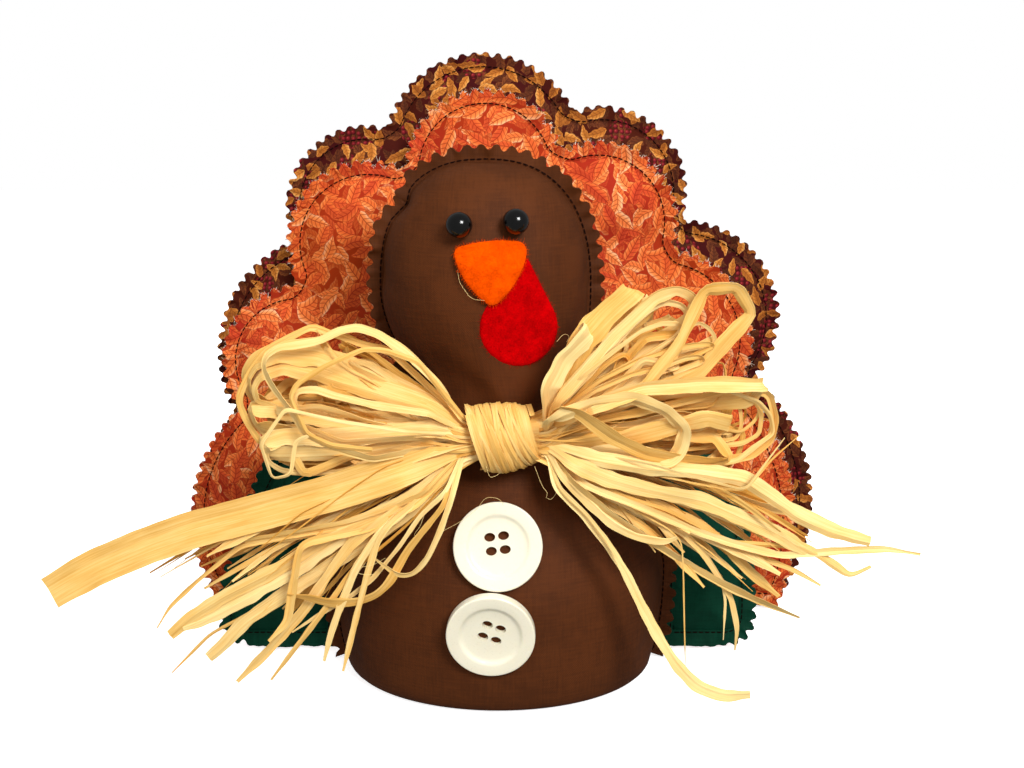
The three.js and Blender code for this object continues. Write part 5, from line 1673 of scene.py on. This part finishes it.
class BowTier:
    """Shares the knot's place, the body's shape and the laying of strips among the bow's operators."""
    # Tones of the filling strips, and of those that stand out
    plain = (0.0, 0.75)
    pale = (0.3, 0.9)
    # Wider strips than the first are stiff ribbon, and only wider ones than the second are gathered
    ribbon = 10 * MM
    gathered = 2 * MM
    # Length in the knot over which a strip is tied tight, and how far outside the knot it starts to spread
    tied_in = 9 * MM
    mouth_out = 1.5 * MM
    # Room between strips and the body or the table, and how far past the body's side they still keep it
    clear = 1.2 * MM
    body_edge = 4 * MM
    wisp_thickness = 0.15 * MM
    # Share by which the width of stiff ribbon and of other strips changes, and the length of such a change
    ribbon_change = 0.025
    strip_change = 0.2
    change_length = 34 * MM
    # Width of a gathered strip where it is tied: a share of its own width, and more
    tied_share = 0.35
    tied_more = 0.7 * MM
    # Share of a strip's length over which its tip narrows
    tip_length = 0.12
    # Strength of a strip's folds where it is tied, what they lose where it is free, and ribbon's share of it
    fold_tied = 1.9
    fold_lost = 0.9
    ribbon_fold = 0.35
    # Length of a twist, turn of a strip that lies edge on, and how readily a bend brings it there
    twist_length = 90 * MM
    edge_turn = 0.95
    edge_ready = 0.8

    def tie(self, context):
        """Takes the settings and finds the middle of the knot."""
        self.bow, self.body = settings_of(context, "bow", "body")
        self.middle = np.array([self.bow.middle_x, -self.bow.knot_y, self.bow.knot_z])

    def begin(self, seed):
        """Starts a new piece of the bow."""
        self.rng = np.random.default_rng(seed)
        self.heap = Heap()

    def drift(self, length, reach):
        """A wander from the next of the piece's random draws."""
        return wander(self.rng.integers(1 << 30), length, reach)

    def clear_of_body(self, path, half):
        """Keeps strips in front of the body and above the table."""
        path = path.copy()
        x, z = path[:, 0], path[:, 2]
        reach = body_half(np.clip(z, 0, self.body.crown_z), self.body) + self.body_edge
        over = np.abs(x - body_middle(z, self.body)) < reach
        away = np.abs(x - self.middle[0]) > self.bow.knot_length / 2 + 1 * MM
        front = skin_front(x, np.clip(z, 0, self.body.crown_z), self.body) - self.clear - 0.5 * half
        path[:, 1] = np.where(over & away, np.minimum(path[:, 1], front), path[:, 1])
        path[:, 2] = np.maximum(path[:, 2], self.clear + half)
        return path

    def mouth(self, side, rise, forward):
        """Two places that lead a strip out of the knot's end."""
        end = self.bow.knot_length / 2
        inner = self.middle + [side * (end - self.tied_in), -0.5 * forward, 0.5 * rise]
        outer = self.middle + [side * (end + self.mouth_out), -forward, rise]
        return [inner, outer]

    def rise_to(self, place, lowest, highest):
        """How far above the knot's middle a strip leaves it on its way to a place."""
        return np.clip(0.3 * (place[2] - self.middle[2]), lowest * MM, highest * MM)

    def spot(self, side, angle, reach, rise, forward):
        """A place out from the knot's end, at an angle above level."""
        level = side * (self.bow.knot_length / 2 + reach * math.cos(angle))
        return self.middle + [level, -forward, rise + reach * math.sin(angle)]

    def lay(self, path, width, tilt, twist, ends, tip=1.0, flat=None, tone=plain, thickness=None):
        """Adds one strip along a path: flat, edge on where it bends, and gathered at its tied ends."""
        rng = self.rng
        along = run_length(path)
        share = along / along[-1]
        first, last = np.broadcast_to(width, 2)
        width = max(first, last)
        wide = width > self.ribbon
        change = self.drift(self.change_length, self.ribbon_change if wide else self.strip_change)(along)
        size = (first + (last - first) * share) * (1 + change)
        start, end = ends
        tied = np.minimum(ease((along - self.tied_in) / start) if start else 1,
                          ease((along[-1] - self.tied_in - along) / end) if end else 1) * np.ones(len(path))
        if width > self.gathered:
            size = (self.tied_share * size + self.tied_more) * (1 - tied) + size * tied
        if tip < 1:
            size = size * (tip + (1 - tip) * ease((1 - share) / self.tip_length))
        fold = (self.fold_tied - self.fold_lost * tied) * (self.ribbon_fold if wide else 1)
        section, q = strip_section(rng, size, thickness or self.bow.thickness, fold)
        tangent = unit(np.gradient(path, axis=0))
        level = np.array([0.0, 1.0, 0.0])
        turn = tilt + self.drift(self.twist_length, twist)(along)
        if flat is None:
            flat = unit(np.cross(level, tangent))
            bend = np.linalg.norm(np.gradient(tangent, axis=0), axis=1) / np.gradient(along)
            edge_on = np.clip(self.edge_ready * bend * width, 0, 1)
            for _ in range(3):
                edge_on = np.convolve(np.pad(edge_on, 1, "edge"), [0.25, 0.5, 0.25], "valid")
            turn = turn + (math.copysign(self.edge_turn, tilt) - turn) * edge_on
        side = np.cos(turn)[:, None] * flat + np.sin(turn)[:, None] * level
        points, faces = sweep(self.clear_of_body(path, size / 2), side, section)
        self.heap.add(points, faces, strip_map(along, size, q) + rng.uniform(0, 3, 2), rng.uniform(*tone))

    def piece(self, name):
        """The strips laid since the start, as one piece."""
        return joined(name, [self.heap.piece("strips", raffia())], 16)


class FIGURE_OT_bow_loops(bpy.types.Operator, BowTier):
    """Lays the loops of the bow, on each side of the knot"""
    bl_idname = "figure.bow_loops"
    bl_label = "Bow loops"

    # Side, seed, lowest and highest loop in degrees, reach of the low and of the high loops in millimetres,
    # share of the filling loops, single strips, folded strips
    sides = (
        ("left", -1, 41, (-4, 30), (78, 64), 0.7, LEFT_LOOP_ROUTES, ()),
        ("right", 1, 83, (-1, 54), (80, 56), 0.95, RIGHT_LOOP_ROUTES, RIGHT_FOLDS),
    )
    # Widths of the filling loops in millimetres, and the chance of each
    widths = (1, 2, 3.2, 4.5, 6, 7.5)
    chances = (0.16, 0.22, 0.2, 0.18, 0.14, 0.1)
    # Lowest and highest place in the knot's end, in millimetres from its middle
    knot = (-6, 8)

    def lay_routes(self, side, routes):
        """The loops whose run is listed. The thin ones end loose."""
        for width, *route in routes:
            points = route_places(*route)
            path = self.mouth(side, self.rise_to(points[0], *self.knot), 3 * MM) + list(points)
            whole_loop = np.max(width) > 2
            if whole_loop:
                path += self.mouth(side, self.rise_to(points[-1], *self.knot), 1 * MM)[::-1]
            self.lay(kinked(path, count=110, rounding=2.5 * MM), np.multiply(width, MM),
                     tilt=self.rng.uniform(0.1, 0.4), twist=0.25,
                     ends=(22 * MM, 22 * MM if whole_loop else 0), tone=self.pale)

    def lay_folds(self, side, folds):
        """The broad strips that are folded flat at the loop's end."""
        for width, out, back in folds:
            out, back = np.array(out, float) * MM, np.array(back, float) * MM
            rise = self.rise_to(out[0], *self.knot)
            out = self.mouth(side, rise, 3 * MM) + list(out)
            back = list(back) + self.mouth(side, rise, 0)[::-1]
            path, flat = folded(out, back, depth=3 * MM, count=110)
            self.lay(path, width * MM, tilt=self.rng.uniform(-0.3, 0.3), twist=0.2, ends=(24 * MM, 24 * MM),
                     flat=flat, tone=self.pale)

    def lay_filling(self, side, degrees, reaches, count):
        """The loops that fill the bow, from low to high."""
        rng = self.rng
        for i in range(count):
            share = ((i + rng.uniform(0, 1)) / count) ** 1.25
            angle = math.radians(degrees[0] + (degrees[1] - degrees[0]) * share)
            reach = (reaches[0] + (reaches[1] - reaches[0]) * share) * rng.uniform(0.6, 1.0) * MM
            spread = math.radians(rng.uniform(3, 11))
            rise = (-3 + 10 * share) * MM + rng.normal(0, 1.2) * MM
            forward, lean = rng.uniform(-7, 6) * MM, rng.uniform(-8, 8) * MM
            path = self.mouth(side, rise, forward)
            # Share of the reach and of the spread, out along the top of the loop and back below
            for out, swing in ((rng.uniform(0.35, 0.5), 0.8), (rng.uniform(0.75, 0.9), 1.1), (1, 0.5),
                               (rng.uniform(0.94, 1), -0.4), (rng.uniform(0.75, 0.88), -1.1),
                               (rng.uniform(0.35, 0.5), -0.7)):
                around = angle + swing * spread * rng.uniform(0.7, 1.3)
                path.append(self.spot(side, around, reach * out, rise, forward + lean * swing * out))
            mouth = self.mouth(side, rise - 1.5 * MM, forward - lean / 2)[::-1]
            width = rng.choice(self.widths, p=self.chances) * MM
            flat = None
            if width > 2.5 * MM:
                run, flat = folded(path[:5], path[6:] + mouth, depth=rng.uniform(2, 4) * MM, count=90)
            else:
                run = kinked(path + mouth, count=72, rounding=rng.uniform(1.5, 4) * MM)
            tilt = rng.choice([-1, 1]) * rng.uniform(0.1, 0.7)
            self.lay(run, width, tilt, twist=0.4, ends=(24 * MM, 24 * MM), flat=flat)

    def lay_wisps(self, side, degrees, count):
        """Fine split fibres between the loops."""
        rng = self.rng
        for _ in range(count):
            angle = math.radians(rng.uniform(degrees[0], 0.8 * degrees[1]))
            rise, forward = rng.normal(1, 3) * MM, rng.uniform(0, 9) * MM
            path = self.mouth(side, rise, forward)
            bend = rng.normal(0, 0.2)
            for out in np.linspace(18, rng.uniform(40, 70), 5):
                place = self.spot(side, angle + bend * out / 60, out * MM, rise, forward)
                path.append(place + rng.normal(0, 1.2, 3) * MM)
            self.lay(spline(path, 40), rng.uniform(0.3, 0.7) * MM, tilt=0.3, twist=0.8, ends=(0, 0), tip=0.4,
                     thickness=self.wisp_thickness)

    def execute(self, context):
        self.tie(context)
        for name, side, seed, degrees, reaches, fullness, routes, folds in self.sides:
            self.begin(seed)
            self.lay_routes(side, routes)
            self.lay_folds(side, folds)
            self.lay_filling(side, degrees, reaches, round(self.bow.loops * fullness))
            self.lay_wisps(side, degrees, self.bow.wisps // 2)
            made = self.piece(f"raffia_loops_{name}")
            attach(made, FIGURE)
            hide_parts(f"bow_loops_{name}")
        return {"FINISHED"}


class FIGURE_OT_bow_tails(bpy.types.Operator, BowTier):
    """Lays the tails of the bow, on each side of the knot"""
    bl_idname = "figure.bow_tails"
    bl_label = "Bow tails"

    # Side, seed, fall of the high and low tails in degrees, their lengths in millimetres, single strips
    sides = (
        ("left", -1, 127, (19, 43), (124, 88), LEFT_TAIL_ROUTES),
        ("right", 1, 173, (12, 36), (108, 84), RIGHT_TAIL_ROUTES),
    )
    # Widths of the filling tails in millimetres, and the chance of each
    widths = (0.8, 1.5, 2.2, 3, 4, 5.2)
    chances = (0.15, 0.2, 0.22, 0.2, 0.14, 0.09)
    # Lowest and highest place in the knot's end, in millimetres from its middle
    knot = (-8, -1)

    def lay_routes(self, side, routes):
        """The tails whose run is listed. The broadest is stiff and cut straight at its end."""
        for width, *route in routes:
            points = route_places(*route)
            path = self.mouth(side, self.rise_to(points[0], *self.knot), 5 * MM) + list(points)
            most = np.max(width)
            wide = most * MM > self.ribbon
            tip = 0.92 if wide else 0.7 if most > 4.2 else 0.35
            self.lay(kinked(path, count=100, rounding=4 * MM), np.multiply(width, MM),
                     tilt=0.08 if wide else self.rng.uniform(-0.3, 0.3), twist=0.06 if wide else 0.3,
                     ends=(30 * MM if wide else 18 * MM, 0), tip=tip, tone=self.pale)

    def lay_filling(self, side, falls, lengths, count, wisps):
        """The tails that fill the bow, from high to low, then fine split fibres."""
        rng = self.rng
        for i in range(count + wisps):
            thin = i >= count
            share = rng.random() if thin else ((i + rng.uniform(0, 1)) / count) ** 1.4
            fall = math.radians(falls[0] + (falls[1] - falls[0]) * share)
            size = (lengths[0] + (lengths[1] - lengths[0]) * share) * rng.uniform(0.55, 1.0) * MM
            rise, forward = (-1.5 - 7 * share) * MM + rng.normal(0, 0.8) * MM, rng.uniform(-6, 7) * MM
            sag, drift = rng.uniform(-3, 7) * MM, rng.normal(0, 7) * MM
            path = self.mouth(side, rise, forward)
            for t in np.linspace(0.2, 1, 5):
                lift = rise + sag * math.sin(math.pi * t) - 6 * MM * t ** 3
                place = self.spot(side, -fall, size * t, lift, forward + drift * t)
                path.append(place + rng.normal(0, 1.3, 3) * MM)
            width = rng.choice(self.widths, p=self.chances) * MM
            width *= 1 - 0.35 * share
            if thin:
                width = rng.uniform(0.3, 0.7) * MM
            self.lay(kinked(path, count=56, rounding=rng.uniform(3, 12) * MM), width,
                     tilt=rng.choice([-1, 1]) * rng.uniform(0.05, 0.7), twist=0.6, ends=(30 * MM, 0),
                     tip=0.35, thickness=self.wisp_thickness if thin else None)

    def execute(self, context):
        self.tie(context)
        for name, side, seed, falls, lengths, routes in self.sides:
            self.begin(seed)
            self.lay_routes(side, routes)
            self.lay_filling(side, falls, lengths, self.bow.tails, self.bow.wisps)
            made = self.piece(f"raffia_tails_{name}")
            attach(made, FIGURE)
            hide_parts(f"bow_tails_{name}")
        return {"FINISHED"}


class FIGURE_OT_bow_binding(bpy.types.Operator, BowTier):
    """Winds the strip that binds the knot, and the loose fibres that lie near it"""
    bl_idname = "figure.bow_binding"
    bl_label = "Bow binding"

    steps_per_turn = 30
    # The core inside the wound strips: room left for them, its size, places round it and along it
    core_inside = 1 * MM
    core_share = 0.72
    core_around = 40
    core_along = 12
    core_end = 1.5 * MM
    # The wound strips: how they slip along, lie out and change in width, each with its length in turns
    slip = (2.3, 1.5 * MM)
    lie = (1.1, 0.6 * MM)
    change = (1.7, 0.35)
    # Share of a slant left free at the ends, thickness beside the other strips and strength of the folds
    slant_room = 0.6
    thicker = 1.4
    folds = 1.2
    # How much the knot narrows to both ends, and to its right end above and, beyond that, below
    narrow_ends = 0.1
    narrow_above = 0.03
    narrow_below = 0.28
    # Loose fibres: radius and room
    loose_radius = 0.07 * MM
    loose_room = 0.3 * MM

    def wind(self, width, phase, turns, lift, slant):
        """Winds one strip round the knot, which narrows to its right end below."""
        bow, rng = self.bow, self.rng
        turn = np.linspace(0, turns, self.steps_per_turn * turns + 1)
        angle = 2 * math.pi * (turn + phase) - math.pi / 2
        run = bow.knot_length - (width + 2 * slant * self.slant_room) * MM
        slip = self.drift(*self.slip)(turn)
        x = -run / 2 + run * turn / turns + slip - slant * MM * np.sin(angle)
        share = 2 * x / bow.knot_length
        low_side = (0.5 - 0.5 * np.sin(angle)) ** 2
        right_end = (self.narrow_above + self.narrow_below * low_side) * np.clip(share, 0, 1)
        barrel = 1 - self.narrow_ends * share ** 2 - right_end
        out = lift * MM + self.drift(*self.lie)(turn)
        y = (bow.knot_depth / 2 * barrel + out) * np.cos(angle)
        z = (bow.knot_height / 2 * barrel + out) * np.sin(angle)
        path = self.middle + np.stack([x, y, z], 1)
        outside = np.stack([np.zeros_like(y), y / bow.knot_depth ** 2, z / bow.knot_height ** 2], 1)
        size = width * MM * (1 + self.drift(*self.change)(turn))
        section, q = strip_section(rng, size, bow.thickness * self.thicker, np.full(len(path), self.folds))
        points, faces = sweep(path, np.cross(unit(outside), unit(np.gradient(path, axis=0))), section)
        self.heap.add(points, faces, strip_map(run_length(path), size, q), rng.uniform(0.1, 0.5))

    def core(self):
        """Fills the middle of the knot."""
        bow, around, count = self.bow, self.core_around, self.core_along
        end = bow.knot_length / 2 - self.core_end
        across = np.linspace(-end, end, count)
        ring = circle(around) * (np.array([bow.knot_depth, bow.knot_height]) / 2 - self.core_inside)
        path = self.middle + np.stack([across, np.zeros(count), np.zeros(count)], 1)
        section = np.tile(ring, (count, 1, 1)) * self.core_share
        points, faces = sweep(path, np.tile([0.0, 1.0, 0.0], (count, 1)), section)
        way_round = np.linspace(0, 2 * math.pi, around, endpoint=False) * 10 * MM
        uv = np.stack([np.repeat(across, around), np.tile(way_round, count)], 1)
        self.heap.add(points, faces, uv, tone=0.35)

    def execute(self, context):
        self.tie(context)
        self.begin(59)
        turns = self.bow.turns
        # Width in millimetres, start in turns, turns, how far it lies out and slant in millimetres
        self.wind(4.8, 0.0, turns, 0.0, 3.0)
        self.wind(3.2, 0.35, turns - 2, 0.3, 4.2)
        self.wind(2.2, 0.6, turns - 3, 0.55, 2.2)
        self.wind(1.2, 0.2, turns - 4, 0.75, 5.0)
        self.core()
        for route in LOOSE_FIBRES:
            line = spline(np.array(route, float) * MM, 24)
            line = self.clear_of_body(line, np.full(len(line), self.loose_room))
            fibre(self.heap, line, self.loose_radius, taper=0.8, sides=5, tone=0.9)
        made = self.piece("raffia_binding")
        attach(made, FIGURE)
        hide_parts("bow_binding")
        return {"FINISHED"}


class FIGURE_OT_stage(bpy.types.Operator):
    """Sets the camera, the pale floor, the white surround and soft lights"""
    bl_idname = "figure.stage"
    bl_label = "Stage"

    # Place in metres, size in metres and watts. Only the first, the key light, is seen in shiny pieces
    lights = (
        ((0.40, -0.80, 0.70), 0.35, 10.6),
        ((-0.75, -0.65, 0.45), 0.80, 2.8),
        ((0.05, -0.30, 1.00), 0.70, 2.6),
        ((0.10, -0.90, 0.05), 0.50, 1.0),
        ((-0.30, 0.90, 0.60), 0.80, 4.0),
    )
    lit_place = (0, 0, 0.1)

    def execute(self, context):
        scene = context.scene
        stage, = settings_of(context, "stage")
        bpy.ops.object.camera_add(location=stage.camera, rotation=(math.pi / 2 - stage.tilt, 0, 0))
        camera = context.object
        camera.data.lens = stage.lens
        camera.data.sensor_width = 36
        camera.data.clip_start = 0.01
        scene.camera = camera
        bpy.ops.object.select_all(action="DESELECT")
        bpy.ops.mesh.primitive_plane_add(size=stage.floor, location=(0, 0, -0.3 * MM))
        floor = context.object
        floor.name = "stage_floor"
        paper = Finish("pale_paper", 0.9)
        paper.colour(paper.mix(paper.noise(paper.place(), 3), solid("f4f4f4"), solid("fafafa")))
        paper.set("Emission Color", (1, 1, 1, 1))
        paper.set("Emission Strength", 0.8)
        floor.data.materials.append(paper.material)
        floor.visible_diffuse = floor.visible_glossy = False
        for place, size, watts in self.lights:
            bpy.ops.object.light_add(type="AREA", location=place)
            lamp = context.object
            lamp.data.size = size
            lamp.data.energy = watts
            lamp.visible_glossy = place == self.lights[0][0]
            aim = Vector(self.lit_place) - Vector(place)
            lamp.rotation_euler = aim.to_track_quat("-Z", "Y").to_euler()
        world = bpy.data.worlds.new("white_surround")
        scene.world = world
        world.use_nodes = True
        nodes, links = world.node_tree.nodes, world.node_tree.links
        lit = nodes["Background"]
        lit.inputs["Color"].default_value = (1, 1, 1, 1)
        lit.inputs["Strength"].default_value = stage.sky
        seen = nodes.new("ShaderNodeBackground")
        seen.inputs["Color"].default_value = (1, 1, 1, 1)
        rays, mix = nodes.new("ShaderNodeLightPath"), nodes.new("ShaderNodeMixShader")
        links.new(rays.outputs["Is Camera Ray"], mix.inputs[0])
        links.new(lit.outputs[0], mix.inputs[1])
        links.new(seen.outputs[0], mix.inputs[2])
        links.new(mix.outputs[0], nodes["World Output"].inputs["Surface"])
        scene.view_settings.view_transform = "Standard"
        return {"FINISHED"}


class FIGURE_PT_panel(bpy.types.Panel):
    """Lists the figure's pieces and settings"""
    bl_idname = "FIGURE_PT_panel"
    bl_label = "Turkey figure"
    bl_space_type = "VIEW_3D"
    bl_region_type = "UI"
    bl_category = "Figure"

    def draw(self, context):
        for operator in OPERATORS:
            self.layout.operator(operator.bl_idname)
        for key in SETTINGS:
            box = self.layout.box()
            group = getattr(context.scene, key)
            for name in group.__annotations__:
                box.prop(group, name)


SETTINGS = {
    "figure_body": BodySizes,
    "figure_sewing": SewingSizes,
    "figure_pads": PadSizes,
    "figure_face": FaceSizes,
    "figure_buttons": ButtonSizes,
    "figure_bow": BowSizes,
    "figure_colours": FinishColours,
    "figure_stage": StageSizes,
}
OPERATORS = (
    FIGURE_OT_stage,
    FIGURE_OT_stuffed_body,
    FIGURE_OT_tail_pads,
    FIGURE_OT_wings,
    FIGURE_OT_felt_face,
    FIGURE_OT_bead_eyes,
    FIGURE_OT_buttons,
    FIGURE_OT_bow_loops,
    FIGURE_OT_bow_tails,
    FIGURE_OT_bow_binding,
)


def register():
    for group in SETTINGS.values():
        bpy.utils.register_class(group)
    for operator in OPERATORS:
        bpy.utils.register_class(operator)
    bpy.utils.register_class(FIGURE_PT_panel)
    for key, group in SETTINGS.items():
        setattr(bpy.types.Scene, key, PointerProperty(type=group))


def unregister():
    for key in SETTINGS:
        delattr(bpy.types.Scene, key)
    bpy.utils.unregister_class(FIGURE_PT_panel)
    for cls in (*OPERATORS, *SETTINGS.values()):
        bpy.utils.unregister_class(cls)


def main():
    """Builds every piece in order."""
    register()
    for operator in OPERATORS:
        group, name = operator.bl_idname.split(".")
        getattr(getattr(bpy.ops, group), name)()


if __name__ == "__main__":
    main()
